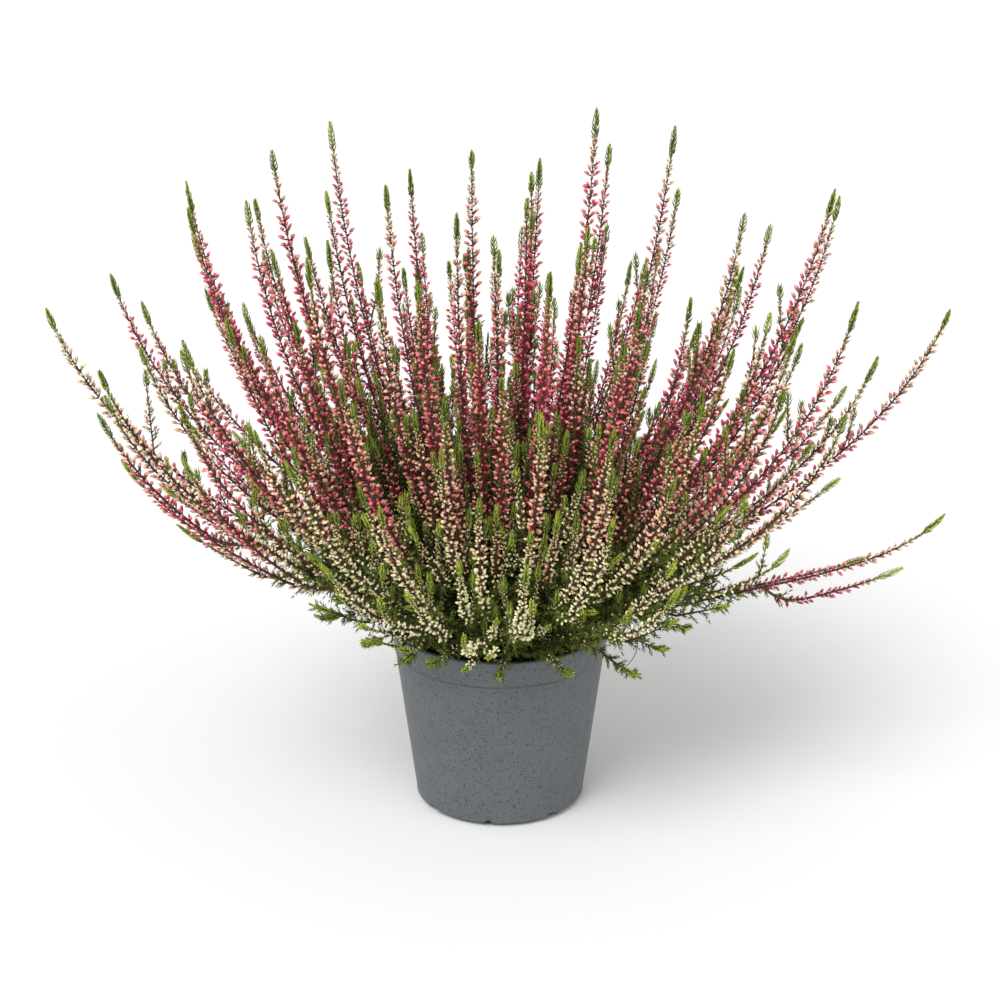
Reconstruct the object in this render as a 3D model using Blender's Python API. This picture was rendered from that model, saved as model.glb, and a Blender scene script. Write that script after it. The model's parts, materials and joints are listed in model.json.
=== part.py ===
"""A potted heather in bud: a plastic grower's pot, its peat, and sprays of upright flowering spikes.

Metres, +Z up. The origin is on the middle of the pot's underside, and the front of the plant faces -Y.
Each spray is one woody stem that stands in a hole of the peat and forks into several spikes.
"""

import math
import random
from types import SimpleNamespace

import bmesh
import bpy
import numpy as np
from mathutils import Matrix, Vector

# Pot, radii and heights
POT_SIDES = 32
POT_HEIGHT = 0.095
FOOT_RADIUS = 0.0385
HEEL_RADIUS = 0.0422
HEEL_HEIGHT = 0.0045
BAND_HEIGHT = 0.0810
BODY_TOP_RADIUS = 0.0523
BAND_STEP = 0.0006
RIM_RADIUS = 0.0550
RIM_LIP = 0.0022
RIM_ROUND = 0.0006
HEEL_ROUND = 0.0008
WALL = 0.0012
FLOOR = 0.0016
NOTCHES = 8
NOTCH_TURN = math.radians(-53)
WIDE_NOTCH = 0.0130
NARROW_NOTCH = 0.0045
NOTCH_HEIGHT = 0.0040
NOTCH_DEPTH = 0.0050

# Peat
PEAT_TOP = 0.0830
PEAT_SHOULDER = 0.0030
PEAT_EDGE = 0.0100
CLEARANCE = 0.0003

# Woody stems that stand in the peat
SPRAYS = 24
STEM_SIDES = 5
HOLE_SIDES = 6
STEM_RADIUS = 0.0018
STEM_TOP_RADIUS = 0.0012
STEM_DEPTH = 0.0150
STEM_PAST_FORK = 0.0040
ROOT_SPREAD = 0.0370
FORK_LOW = 0.0080
FORK_HIGH = 0.0220
SETTLE = 0.0420

# Spikes: the footprint of their tips, and the dome that the tips reach
SEED = 53
SPIKES = 104
HALF_WIDTH = 0.205
FRONT_DEPTH = 0.150
BACK_DEPTH = 0.178
CROWN_HEIGHT = 0.303
SIDE_HEIGHT = 0.232
FRONT_HEIGHT = 0.180
BACK_HEIGHT = 0.205
DOME_POWER = 2.4
HEIGHT_VARIES = 0.034
CLEAR_OF_CHOSEN = 0.024

# How a spike bends: its two inner control points, as shares of its spread and its rise
RISE = 0.0260
RISE_OUT = 0.24
RISE_UP = 0.12
BEND_IN = 0.17
BEND_DOWN = 0.54
SWAY = 0.0065

# Tips of the spikes that give the plant its outline, chosen by hand
CHOSEN_TIPS = (
    (-0.216, 0.000, 0.256),
    (-0.193, 0.045, 0.262),
    (-0.187, -0.035, 0.226),
    (-0.157, 0.040, 0.310),
    (-0.108, 0.020, 0.330),
    (-0.082, 0.060, 0.334),
    (-0.052, -0.010, 0.318),
    (-0.018, 0.030, 0.327),
    (0.014, 0.050, 0.318),
    (0.044, 0.015, 0.351),
    (0.080, 0.055, 0.332),
    (0.112, 0.000, 0.303),
    (0.150, -0.005, 0.318),
    (0.170, 0.050, 0.300),
    (0.177, 0.000, 0.232),
    (0.216, 0.020, 0.250),
    (0.213, -0.030, 0.165),
)

# Short spikes that lean out over the rim, and low sprigs between them
RING = 38
RING_ROOT = 1.12
RING_LIFT = 0.0125
RING_WIDER = 0.12
RING_VARIES = 0.12
RING_HEIGHT_VARIES = 0.008
SHORT_REACH = 0.120
SHORT_HEIGHT = 0.152
LOW_REACH = 0.096
LOW_HEIGHT = 0.106

# Side spikes: each parts from a spike and runs up beside it, on the side with most room
SIDE_LEAVES_AT = (0.26, 0.40)
SIDE_ENDS_AT = (0.62, 0.92)
SIDE_APART = (0.0100, 0.0130, 0.0160)
SIDE_TURNS = 12
SIDE_PARTED_BY = 0.20
SIDE_FLOWERS_FROM = 0.12
SIDE_ROOM = 0.0020
SIDE_CHANCE = 0.82
SIDE_LOOKS = 0.075
TRAIL_STEPS = 24

# A spike: rings of three buds, each ring turned against the last
PITCH = 0.0179
LEAFY_PITCH = 0.0400
TWIG_RADIUS = 0.0011
LEAFY_RADIUS = 0.0024
BUD_RADIUS = 0.0044
TIP_RADIUS = 0.0020
TIP_LENGTH = 0.0080
TIP_TAPER = 0.0260
LEAVES_FROM = 0.0100
LEAVES_OVER = 0.0200
FLOWERS_FROM = 0.30
FLOWERS_VARY = 0.05
FLOWERS_OVER = 0.12
LOW_LEAFY_RADIUS = 0.0028
LOW_LEAVES_FROM = 0.25
BUDS_IN_RING = 3
BUDS_VARY = 0.12

# Where the sprays are cream and crimson, as shares of the footprint; the rest are pink
CREAM_IN_FRONT_OF = -0.60
CRIMSON_BEHIND = 0.10
CRIMSON_WITHIN = 0.40

# Colours of the finishes, with their roughness
FINISHES = {
    "pot_plastic": ((0.150, 0.165, 0.180), 0.55),
    "peat": ((0.030, 0.018, 0.011), 0.95),
    "spray_crimson": ((0.400, 0.040, 0.085), 0.60),
    "spray_pink": ((0.620, 0.170, 0.170), 0.60),
    "spray_cream": ((0.620, 0.560, 0.330), 0.60),
}


def clear_scene():
    """Removes every object of the scene."""
    for old in list(bpy.data.objects):
        bpy.data.objects.remove(old, do_unlink=True)


def finish(name):
    """The finish called name, made once."""
    made = bpy.data.materials.get(name)
    if made:
        return made
    colour, roughness = FINISHES[name]
    made = bpy.data.materials.new(name)
    made.use_nodes = True
    shader = made.node_tree.nodes["Principled BSDF"]
    shader.inputs["Base Color"].default_value = (*colour, 1.0)
    shader.inputs["Roughness"].default_value = roughness
    shader.inputs["Metallic"].default_value = 0.0
    return made


def add_object(name, mesh, finish_name=None):
    """Puts a mesh in the scene as an object."""
    if finish_name:
        mesh.materials.append(finish(finish_name))
    made = bpy.data.objects.new(name, mesh)
    bpy.context.scene.collection.objects.link(made)
    return made


def mesh_from(name, points, faces):
    """A mesh of the points and faces."""
    mesh = bpy.data.meshes.new(name)
    mesh.from_pydata([tuple(p) for p in points], [], faces)
    mesh.update()
    return mesh


def turned(name, profile):
    """A mesh turned about Z. The profile (radius, height) starts and ends on the axis and runs
    up the outside and down the inside."""
    points = [(0, 0, profile[0][1])]
    for radius, height in profile[1:-1]:
        for k in range(POT_SIDES):
            turn = 2 * math.pi * k / POT_SIDES
            points.append((radius * math.cos(turn), radius * math.sin(turn), height))
    points.append((0, 0, profile[-1][1]))
    rings = len(profile) - 2
    last = len(points) - 1
    faces = []
    for k in range(POT_SIDES):
        after = (k + 1) % POT_SIDES
        faces.append((0, 1 + after, 1 + k))
        for ring in range(rings - 1):
            low = 1 + ring * POT_SIDES
            high = low + POT_SIDES
            faces.append((low + k, low + after, high + after, high + k))
        top = 1 + (rings - 1) * POT_SIDES
        faces.append((top + k, top + after, last))
    return mesh_from(name, points, faces)


def body_radius(height):
    """The outer radius of the pot's tapering body."""
    share = (height - HEEL_HEIGHT) / (BAND_HEIGHT - HEEL_HEIGHT)
    return HEEL_RADIUS + (BODY_TOP_RADIUS - HEEL_RADIUS) * share


def apply_boolean(target, operation, group):
    """One exact Boolean of a target with a collection, applied, and the collection removed."""
    change = target.modifiers.new("join", "BOOLEAN")
    change.operation = operation
    change.operand_type = "COLLECTION"
    change.collection = group
    change.solver = "EXACT"
    bpy.context.view_layer.update()
    seen = target.evaluated_get(bpy.context.evaluated_depsgraph_get())
    mesh = bpy.data.meshes.new_from_object(seen)
    target.modifiers.clear()
    target.data = mesh
    for used in list(group.objects):
        bpy.data.objects.remove(used, do_unlink=True)
    bpy.data.collections.remove(group)


def into_collection(name, objects):
    """A collection that holds the objects and nothing else."""
    group = bpy.data.collections.new(name)
    bpy.context.scene.collection.children.link(group)
    for each in objects:
        group.objects.link(each)
        bpy.context.scene.collection.objects.unlink(each)
        each.hide_render = True
        each.display_type = "WIRE"
    return group


def make_pot():
    """The pot, a turned shell with wide and narrow drain notches by turns round its bottom edge."""
    band_radius = BODY_TOP_RADIUS + BAND_STEP
    lip_low = POT_HEIGHT - RIM_LIP
    lip_neck = RIM_RADIUS - BAND_STEP
    profile = (
        (0.0, 0.0),
        (FOOT_RADIUS, 0.0),
        (HEEL_RADIUS - HEEL_ROUND, HEEL_HEIGHT / 3),
        (HEEL_RADIUS, HEEL_HEIGHT),
        (BODY_TOP_RADIUS, BAND_HEIGHT),
        (band_radius, BAND_HEIGHT + BAND_STEP),
        (lip_neck, lip_low - BAND_STEP),
        (RIM_RADIUS, lip_low),
        (RIM_RADIUS, POT_HEIGHT - RIM_ROUND),
        (RIM_RADIUS - RIM_ROUND, POT_HEIGHT),
        (RIM_RADIUS - WALL - BAND_STEP / 2, POT_HEIGHT),
        (band_radius - WALL, BAND_HEIGHT + BAND_STEP),
        (BODY_TOP_RADIUS - WALL, BAND_HEIGHT),
        (HEEL_RADIUS - WALL, HEEL_HEIGHT),
        (FOOT_RADIUS - WALL, FLOOR),
        (0.0, FLOOR),
    )
    pot = add_object("pot", turned("pot", profile), "pot_plastic")
    cutters = []
    for k in range(NOTCHES):
        turn = NOTCH_TURN + 2 * math.pi * k / NOTCHES
        width = NARROW_NOTCH if k % 2 else WIDE_NOTCH
        place = Matrix.Rotation(turn, 4, "Z") @ Matrix.Translation((HEEL_RADIUS, 0, 0))
        size = Matrix.Diagonal((2 * NOTCH_DEPTH, width, 2 * NOTCH_HEIGHT, 1.0))
        shape = bmesh.new()
        bmesh.ops.create_cube(shape, size=1.0, matrix=place @ size)
        mesh = bpy.data.meshes.new("notch")
        shape.to_mesh(mesh)
        shape.free()
        cutters.append(add_object(f"notch_{k}", mesh))
    apply_boolean(pot, "DIFFERENCE", into_collection("notches", cutters))
    return pot


def smooth(share):
    """Eases a share in and out, held between 0 and 1."""
    share = min(max(share, 0.0), 1.0)
    return share * share * (3 - 2 * share)


def mixed(low, high, share):
    """The value a share of the way from low to high."""
    return low + (high - low) * share


def bezier(ends, share):
    """A point on the cubic curve through four control points."""
    a, b, c, d = ends
    rest = 1 - share
    return a * rest ** 3 + b * (3 * rest * rest * share) + c * (3 * rest * share * share) + d * share ** 3


def spike_curve(place, tip):
    """The control points of a spike: it rises from the peat, spreads out low and turns upright."""
    root = Vector((place.x * ROOT_SPREAD, place.y * ROOT_SPREAD, PEAT_TOP))
    span = tip - root
    out = Vector((span.x, span.y, 0.0))
    rise = root + out * RISE_OUT + Vector((0, 0, RISE + RISE_UP * span.z))
    bend = tip - out * BEND_IN - Vector((0, 0, BEND_DOWN * span.z))
    return root, rise, bend, tip


def tip_height(place, dice):
    """How high a spike of the dome reaches: the dome falls towards its edge, least at the sides."""
    end = FRONT_HEIGHT if place.y < 0 else BACK_HEIGHT
    edge = mixed(SIDE_HEIGHT, end, (place.y / place.length) ** 2)
    fall = min(place.length, 1.0) ** DOME_POWER
    return mixed(CROWN_HEIGHT, edge, fall) + dice.uniform(-1, 1) * HEIGHT_VARIES


def sunflower(count):
    """Places spread evenly over a disc of radius 1."""
    for k in range(count):
        turn = k * math.pi * (3 - math.sqrt(5))
        yield Vector((math.cos(turn), math.sin(turn))) * math.sqrt((k + 0.5) / count)


def half_depth(y):
    """The depth of the footprint, less at the front than at the back."""
    return FRONT_DEPTH if y < 0 else BACK_DEPTH


def lay_out():
    """Every spike of the plant, each given to the spray whose stem stands nearest."""
    dice = random.Random(SEED)
    spikes = []
    for tip in CHOSEN_TIPS:
        place = Vector((tip[0] / HALF_WIDTH, tip[1] / half_depth(tip[1])))
        spikes.append(SimpleNamespace(place=place, tip=Vector(tip), kind="tall"))
    for place in sunflower(SPIKES):
        depth = place.y * half_depth(place.y)
        tip = Vector((place.x * HALF_WIDTH, depth, tip_height(place, dice)))
        if all((tip.xy - Vector(other[:2])).length > CLEAR_OF_CHOSEN for other in CHOSEN_TIPS):
            spikes.append(SimpleNamespace(place=place, tip=tip, kind="tall"))
    for k in range(RING):
        turn = 2 * math.pi * (k + dice.uniform(0.4, 0.6)) / RING
        kind = "short" if k % 2 else "low"
        reach, height = (SHORT_REACH, SHORT_HEIGHT) if k % 2 else (LOW_REACH, LOW_HEIGHT)
        place = Vector((math.cos(turn), math.sin(turn)))
        reach *= (1 + dice.uniform(-1, 1) * RING_VARIES) * (1 + RING_WIDER * place.x)
        height += dice.uniform(-1, 1) * RING_HEIGHT_VARIES
        tip = Vector((place.x * reach, place.y * reach, height))
        spikes.append(SimpleNamespace(place=place * RING_ROOT, tip=tip, kind=kind))
    sprays = [SimpleNamespace(place=place, spikes=[]) for place in sunflower(SPRAYS)]
    for spike in spikes:
        spike.curve = spike_curve(spike.place, spike.tip)
        if spike.kind != "tall":
            spike.curve[1].z += RING_LIFT
        spike.sway = Vector((dice.uniform(-1, 1), dice.uniform(-1, 1), 0)) * SWAY
        spike.fork = dice.uniform(FORK_LOW, FORK_HIGH) if spike.kind == "tall" else FORK_LOW
        spike.flowers_from = FLOWERS_FROM + dice.uniform(-1, 1) * FLOWERS_VARY
        spike.turn = dice.uniform(0, 2 * math.pi)
        spike.spray = min(sprays, key=lambda spray: (spray.place - spike.place).length)
        spike.spray.spikes.append(spike)
    for spray in sprays:
        depth = spray.place.y * half_depth(spray.place.y)
        crown = Vector((spray.place.x * HALF_WIDTH, depth, CROWN_HEIGHT))
        spray.curve = spike_curve(spray.place, crown)
    add_side_spikes(spikes, dice)
    return [spray for spray in sprays if spray.spikes]


def add_side_spikes(spikes, dice):
    """Gives each spike but the low ones a side spike, where there is room for one."""
    trails = [trail(spike) for spike in spikes]
    for number, parent in enumerate(spikes):
        if parent.kind == "low" or dice.random() > SIDE_CHANCE:
            continue
        side = SimpleNamespace(
            kind="side",
            parent=parent,
            leaves_at=dice.uniform(*SIDE_LEAVES_AT),
            ends_at=dice.uniform(*SIDE_ENDS_AT),
            turn=dice.uniform(0, 2 * math.pi),
            flowers_from=SIDE_FLOWERS_FROM,
            fork=FORK_LOW,
            spray=parent.spray,
            aside=Vector((0, 0, 0)),
        )
        others = np.vstack(trails[:number] + trails[number + 1:])
        space, side.aside = most_room(side, others)
        if space > SIDE_ROOM:
            trails.append(trail(side))
            side.spray.spikes.append(side)


def most_room(side, others):
    """The way aside from its parent that gives a side spike the most room, and how much that is."""
    middle = trail(side)
    others = others[np.linalg.norm(others[:, :3] - middle[TRAIL_STEPS // 2, :3], axis=1) < SIDE_LOOKS]
    ahead = Vector(middle[-1, :3] - middle[0, :3]).normalized()
    across = ahead.orthogonal().normalized()
    other = across.cross(ahead)
    parted = np.array([parted_by(k / TRAIL_STEPS) for k in range(TRAIL_STEPS + 1)])
    best = -1.0, Vector((0, 0, 0))
    for apart in SIDE_APART:
        for k in range(SIDE_TURNS):
            way = 2 * math.pi * k / SIDE_TURNS
            aside = (across * math.cos(way) + other * math.sin(way)) * apart
            points = middle[:, :3] + parted[:, None] * np.array(aside)
            gaps = np.linalg.norm(points[:, None] - others[None, :, :3], axis=2)
            space = (gaps - middle[:, None, 3] - others[None, :, 3]).min()
            if space > best[0]:
                best = space, aside
    return best


def trail(spike):
    """Points up a spike, each with the spike's radius there, to measure the room beside it."""
    shares = [k / TRAIL_STEPS for k in range(TRAIL_STEPS + 1)]
    points = [spike_point(spike, share) for share in shares]
    length = sum((b - a).length for a, b in zip(points, points[1:]))
    return np.array([(*p, spike_radius(spike, share, length)) for p, share in zip(points, shares)])


def parted_by(share):
    """How far a side spike has parted from its parent, a share of the way up it."""
    return 1 - (1 - min(share / SIDE_PARTED_BY, 1.0)) ** 2


def stem_point(spray, along):
    """A point on a spray's woody stem, measured from the peat."""
    return bezier(spray.curve, along / (spray.curve[3] - spray.curve[0]).length)


def side_point(spike, share):
    """A point on a side spike, which leaves its parent and runs up beside it."""
    on_parent = spike_point(spike.parent, mixed(spike.leaves_at, spike.ends_at, share))
    return on_parent + spike.aside * parted_by(share)


def spike_point(spike, share):
    """A point on a spike: it parts from its spray's stem at the fork and settles on its own curve."""
    if spike.kind == "side":
        return side_point(spike, share)
    length = (spike.tip - spike.curve[0]).length
    along = spike.fork + share * (length - spike.fork)
    own = bezier(spike.curve, along / length) + spike.sway * (along / length) ** 2
    parted = min((along - spike.fork) / SETTLE, 1.0)
    parted = 1 - (1 - parted) ** 2
    return stem_point(spike.spray, along).lerp(own, parted) if parted < 1 else own


def spike_radius(spike, share, length):
    """The radius of a spike over its leaves or buds."""
    leafy = LOW_LEAFY_RADIUS if spike.kind == "low" else LEAFY_RADIUS
    body = mixed(TWIG_RADIUS, leafy, smooth((share * length - LEAVES_FROM) / LEAVES_OVER))
    if spike.kind != "low":
        body = mixed(body, BUD_RADIUS, smooth((share - spike.flowers_from) / FLOWERS_OVER))
    left = (1 - share) * length
    return mixed(TIP_RADIUS, body, smooth((left - TIP_LENGTH) / TIP_TAPER))


def spaced_points(spike):
    """Places up a spike, further apart below its flowers, their shares of its length, and its length."""
    samples = 60
    raw = [spike_point(spike, k / samples) for k in range(samples + 1)]
    run = [0.0]
    for a, b in zip(raw, raw[1:]):
        run.append(run[-1] + (b - a).length)
    length = run[-1]
    bare = length * (LOW_LEAVES_FROM if spike.kind == "low" else spike.flowers_from)
    steps = max(2, round(bare / LEAFY_PITCH))
    wanted = [bare * step / steps for step in range(steps)]
    steps = max(3, round((length - bare) / PITCH))
    wanted += [bare + (length - bare) * step / steps for step in range(steps + 1)]
    places = []
    k = 0
    for want in wanted:
        while k < samples - 1 and run[k + 1] < want:
            k += 1
        part = (want - run[k]) / max(run[k + 1] - run[k], 1e-9)
        places.append(raw[k].lerp(raw[k + 1], min(part, 1.0)))
    return places, [want / length for want in wanted], length


def column(places, radii, sides, turn, vary=lambda: 1.0):
    """A closed column of rings, each turned half a side against the last, that ends in a point."""
    points = []
    steady = (places[-1] - places[0]).orthogonal().normalized()
    for k, radius in enumerate(radii):
        ahead = places[min(k + 1, len(places) - 1)] - places[max(k - 1, 0)]
        across = ahead.normalized().cross(steady).normalized()
        other = across.cross(ahead.normalized())
        spin = turn + k * math.pi / sides
        for side in range(sides):
            angle = spin + 2 * math.pi * side / sides
            out = radius * vary()
            points.append(places[k] + (across * math.cos(angle) + other * math.sin(angle)) * out)
    points.append(places[-1])
    faces = [tuple(range(sides))]
    for ring in range(len(radii) - 1):
        low = ring * sides
        high = low + sides
        for side in range(sides):
            after = (side + 1) % sides
            faces.append((low + side, high + side, low + after))
            faces.append((high + side, high + after, low + after))
    top = (len(radii) - 1) * sides
    apex = len(points) - 1
    for side in range(sides):
        faces.append((top + side, apex, top + (side + 1) % sides))
    return points, faces


def spike_mesh(spike, dice):
    """The faceted solid of a spike, with three buds in each ring."""
    places, shares, length = spaced_points(spike)
    radii = [spike_radius(spike, share, length) for share in shares[:-1]]
    radii[0] = TWIG_RADIUS
    points, faces = column(
        places, radii, BUDS_IN_RING, spike.turn, lambda: 1 + dice.uniform(-1, 1) * BUDS_VARY
    )
    return mesh_from("spike", points, faces)


def stem_mesh(spray):
    """The woody stem of a spray, upright in the peat and leaning above it."""
    top = max(spike.fork for spike in spray.spikes) + STEM_PAST_FORK
    root = stem_point(spray, 0.0)
    places = [root - Vector((0, 0, STEM_DEPTH)), root + Vector((0, 0, STEM_RADIUS))]
    radii = [STEM_RADIUS, STEM_RADIUS]
    for share in (0.45, 1.0):
        places.append(stem_point(spray, top * share))
        radii.append(mixed(STEM_RADIUS, STEM_TOP_RADIUS, share))
    places.append(stem_point(spray, top + STEM_TOP_RADIUS))
    points, faces = column(places, radii, STEM_SIDES, 0.0)
    return mesh_from("stem", points, faces)


def spray_finish(spray):
    """Low front sprays are cream, the tall ones pink, and the inner and back ones crimson."""
    if spray.place.y < CREAM_IN_FRONT_OF:
        return "spray_cream"
    if spray.place.y > CRIMSON_BEHIND or spray.place.length < CRIMSON_WITHIN:
        return "spray_crimson"
    return "spray_pink"


def make_sprays(sprays):
    """Each spray, its spikes joined to its stem by one union."""
    dice = random.Random(SEED + 1)
    for number, spray in enumerate(sprays, start=1):
        stem = add_object(f"spray_{number:02d}", stem_mesh(spray), spray_finish(spray))
        spikes = [add_object("spike", spike_mesh(spike, dice)) for spike in spray.spikes]
        apply_boolean(stem, "UNION", into_collection("spikes", spikes))


def make_peat(sprays):
    """The peat, a turned plug with a plain hole for each stem."""
    inside = WALL + 1.5 * CLEARANCE
    shoulder = PEAT_TOP - PEAT_SHOULDER
    profile = (
        (0.0, FLOOR + CLEARANCE),
        (FOOT_RADIUS - inside - CLEARANCE, FLOOR + CLEARANCE),
        (HEEL_RADIUS - inside, HEEL_HEIGHT + CLEARANCE),
        (body_radius(shoulder) - inside, shoulder),
        (body_radius(shoulder) - PEAT_EDGE, PEAT_TOP - CLEARANCE),
        (0.0, PEAT_TOP),
    )
    peat = add_object("peat", turned("peat", profile), "peat")
    hole = (STEM_RADIUS + CLEARANCE) / math.cos(math.pi / HOLE_SIDES)
    cutters = []
    for spray in sprays:
        root = stem_point(spray, 0.0)
        shape = bmesh.new()
        deep = STEM_DEPTH + 2 * CLEARANCE
        place = Matrix.Translation((root.x, root.y, PEAT_TOP))
        bmesh.ops.create_cone(
            shape, cap_ends=True, segments=HOLE_SIDES, radius1=hole, radius2=hole, depth=2 * deep,
            matrix=place,
        )
        mesh = bpy.data.meshes.new("hole")
        shape.to_mesh(mesh)
        shape.free()
        cutters.append(add_object("hole", mesh))
    apply_boolean(peat, "DIFFERENCE", into_collection("holes", cutters))


def build():
    """The whole plant."""
    clear_scene()
    sprays = lay_out()
    make_pot()
    make_peat(sprays)
    make_sprays(sprays)


build()
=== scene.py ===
import json
import math
import random
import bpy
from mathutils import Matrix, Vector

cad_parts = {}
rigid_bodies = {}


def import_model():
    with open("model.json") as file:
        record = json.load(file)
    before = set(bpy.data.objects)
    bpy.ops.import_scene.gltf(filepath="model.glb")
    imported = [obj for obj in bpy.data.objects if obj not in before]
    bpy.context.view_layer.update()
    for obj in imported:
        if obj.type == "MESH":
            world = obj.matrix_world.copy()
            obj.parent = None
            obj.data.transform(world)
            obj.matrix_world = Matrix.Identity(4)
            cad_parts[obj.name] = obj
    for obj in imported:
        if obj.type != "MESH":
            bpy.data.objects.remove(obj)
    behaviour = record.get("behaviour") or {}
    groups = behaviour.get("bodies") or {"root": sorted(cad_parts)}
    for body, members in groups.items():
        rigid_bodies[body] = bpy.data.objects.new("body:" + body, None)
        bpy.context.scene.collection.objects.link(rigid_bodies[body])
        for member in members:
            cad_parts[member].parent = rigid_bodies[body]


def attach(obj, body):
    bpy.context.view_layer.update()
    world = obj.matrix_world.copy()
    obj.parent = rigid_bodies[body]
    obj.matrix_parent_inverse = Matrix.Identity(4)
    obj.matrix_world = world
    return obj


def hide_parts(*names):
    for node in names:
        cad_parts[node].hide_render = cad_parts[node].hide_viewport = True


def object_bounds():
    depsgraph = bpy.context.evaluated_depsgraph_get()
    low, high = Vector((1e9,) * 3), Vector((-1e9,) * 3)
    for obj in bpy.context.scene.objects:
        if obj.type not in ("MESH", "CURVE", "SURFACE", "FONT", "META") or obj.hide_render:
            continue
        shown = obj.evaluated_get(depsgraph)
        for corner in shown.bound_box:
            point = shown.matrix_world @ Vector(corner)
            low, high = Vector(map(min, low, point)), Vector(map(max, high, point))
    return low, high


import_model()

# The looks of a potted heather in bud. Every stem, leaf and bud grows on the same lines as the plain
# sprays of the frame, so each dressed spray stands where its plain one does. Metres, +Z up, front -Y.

from types import SimpleNamespace

import bmesh
import bpy
import numpy as np
from mathutils import Matrix, Vector, noise

cad_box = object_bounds()

# Pot, radii and heights
POT_HEIGHT = 0.095
FOOT_RADIUS = 0.0385
HEEL_RADIUS = 0.0422
HEEL_HEIGHT = 0.0045
BAND_HEIGHT = 0.0810
BODY_TOP_RADIUS = 0.0523
BAND_STEP = 0.0006
RIM_RADIUS = 0.0550
RIM_LIP = 0.0022
WALL = 0.0012
FLOOR = 0.0016
NOTCHES = 8
NOTCH_TURN = math.radians(-53)
WIDE_NOTCH = 0.0130
NARROW_NOTCH = 0.0045
NOTCH_HEIGHT = 0.0040
NOTCH_DEPTH = 0.0050
POT_SEGMENTS = 112
FOOT_HOLLOW = 0.0008
HEEL_ROUND = 0.0012
LIP_ROUND = 0.0009
EDGE_ROUND = 0.0006

# Peat
PEAT_TOP = 0.0830
CLEARANCE = 0.0003
PEAT_RELIEF = 0.0016
PEAT_SINKS = 0.0026
PEAT_SINKS_FROM = (0.86, 0.14)
PEAT_SEGMENTS = 96
CRUMBS = 320
PEAT_RINGS = 30
FIBRE = (
    (0.045, -0.014, 0.082),
    (0.058, -0.020, 0.116),
    (0.080, -0.028, 0.094),
    (0.058, -0.024, 0.076),
)
FIBRE_STEPS = 24

# Woody stems that stand in the peat
SPRAYS = 24
STEM_RADIUS = 0.0018
STEM_TOP_RADIUS = 0.0012
STEM_DEPTH = 0.0150
STEM_PAST_FORK = 0.0040
ROOT_SPREAD = 0.0370
FORK_LOW = 0.0080
FORK_HIGH = 0.0220
SETTLE = 0.0420

# Spikes: the footprint of their tips, and the dome that the tips reach
SEED = 53
SPIKES = 104
HALF_WIDTH = 0.205
FRONT_DEPTH = 0.150
BACK_DEPTH = 0.178
CROWN_HEIGHT = 0.303
SIDE_HEIGHT = 0.232
FRONT_HEIGHT = 0.180
BACK_HEIGHT = 0.205
DOME_POWER = 2.4
HEIGHT_VARIES = 0.034
CLEAR_OF_CHOSEN = 0.024

# How a spike bends: its two inner control points, as shares of its spread and its rise
RISE = 0.0260
RISE_OUT = 0.24
RISE_UP = 0.12
BEND_IN = 0.17
BEND_DOWN = 0.54
SWAY = 0.0065

# Tips of the spikes that give the plant its outline, chosen one by one
CHOSEN_TIPS = (
    (-0.216, 0.000, 0.256),
    (-0.193, 0.045, 0.262),
    (-0.187, -0.035, 0.226),
    (-0.157, 0.040, 0.310),
    (-0.108, 0.020, 0.330),
    (-0.082, 0.060, 0.334),
    (-0.052, -0.010, 0.318),
    (-0.018, 0.030, 0.327),
    (0.014, 0.050, 0.318),
    (0.044, 0.015, 0.351),
    (0.080, 0.055, 0.332),
    (0.112, 0.000, 0.303),
    (0.150, -0.005, 0.318),
    (0.170, 0.050, 0.300),
    (0.177, 0.000, 0.232),
    (0.216, 0.020, 0.250),
    (0.213, -0.030, 0.165),
)

# Short spikes that lean out over the rim, and low sprigs between them
RING = 38
RING_ROOT = 1.12
RING_LIFT = 0.0125
RING_WIDER = 0.12
RING_VARIES = 0.12
RING_HEIGHT_VARIES = 0.008
SHORT_REACH = 0.120
SHORT_HEIGHT = 0.152
LOW_REACH = 0.096
LOW_HEIGHT = 0.106

# Side spikes: each parts from a spike and runs up beside it, on the side with most room
SIDE_APART = (0.0100, 0.0130, 0.0160)
SIDE_TURNS = 12
SIDE_PARTED_BY = 0.20
SIDE_FLOWERS_FROM = 0.12
SIDE_LOOKS = 0.075
TRAIL_STEPS = 24
SIDES = SimpleNamespace(chance=0.82, leaves_at=(0.26, 0.40), ends_at=(0.62, 0.92), room=0.0020)

# How wide the plain spikes are, which their side spikes keep clear of
TWIG_RADIUS = 0.0011
LEAFY_RADIUS = 0.0024
LOW_LEAFY_RADIUS = 0.0028
BUD_RADIUS = 0.0044
TIP_RADIUS = 0.0020
TIP_LENGTH = 0.0080
TIP_TAPER = 0.0260
LEAVES_FROM = 0.0100
LEAVES_OVER = 0.0200
FLOWERS_OVER = 0.12

# More side spikes, where the plain sprays have none: these end a span past the place they leave at
MORE_SEED = 5
MORE_SIDES = SimpleNamespace(chance=0.8, leaves_at=(0.18, 0.50), ends_at=(0.26, 0.46), room=0.0)

# Short flowering shoots on the lower stretch of the spikes, most at the front
SPRIGS_AT = (0.08, 0.46)
SPRIGS_AT_FRONT = 4.0
SPRIGS_AT_BACK = 1.2
SPRIG_LENGTH = (0.028, 0.050)
SPRIG_FLOWERS_FROM = 0.28

# Higher up the tall spikes they stand closer to their spike
UPPER_SPRIGS = 2
UPPER_AT = (0.44, 0.76)
UPPER_LENGTH = (0.028, 0.050)
UPPER_SPREAD = 0.75
UPPER_ABOVE = 0.225

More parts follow.
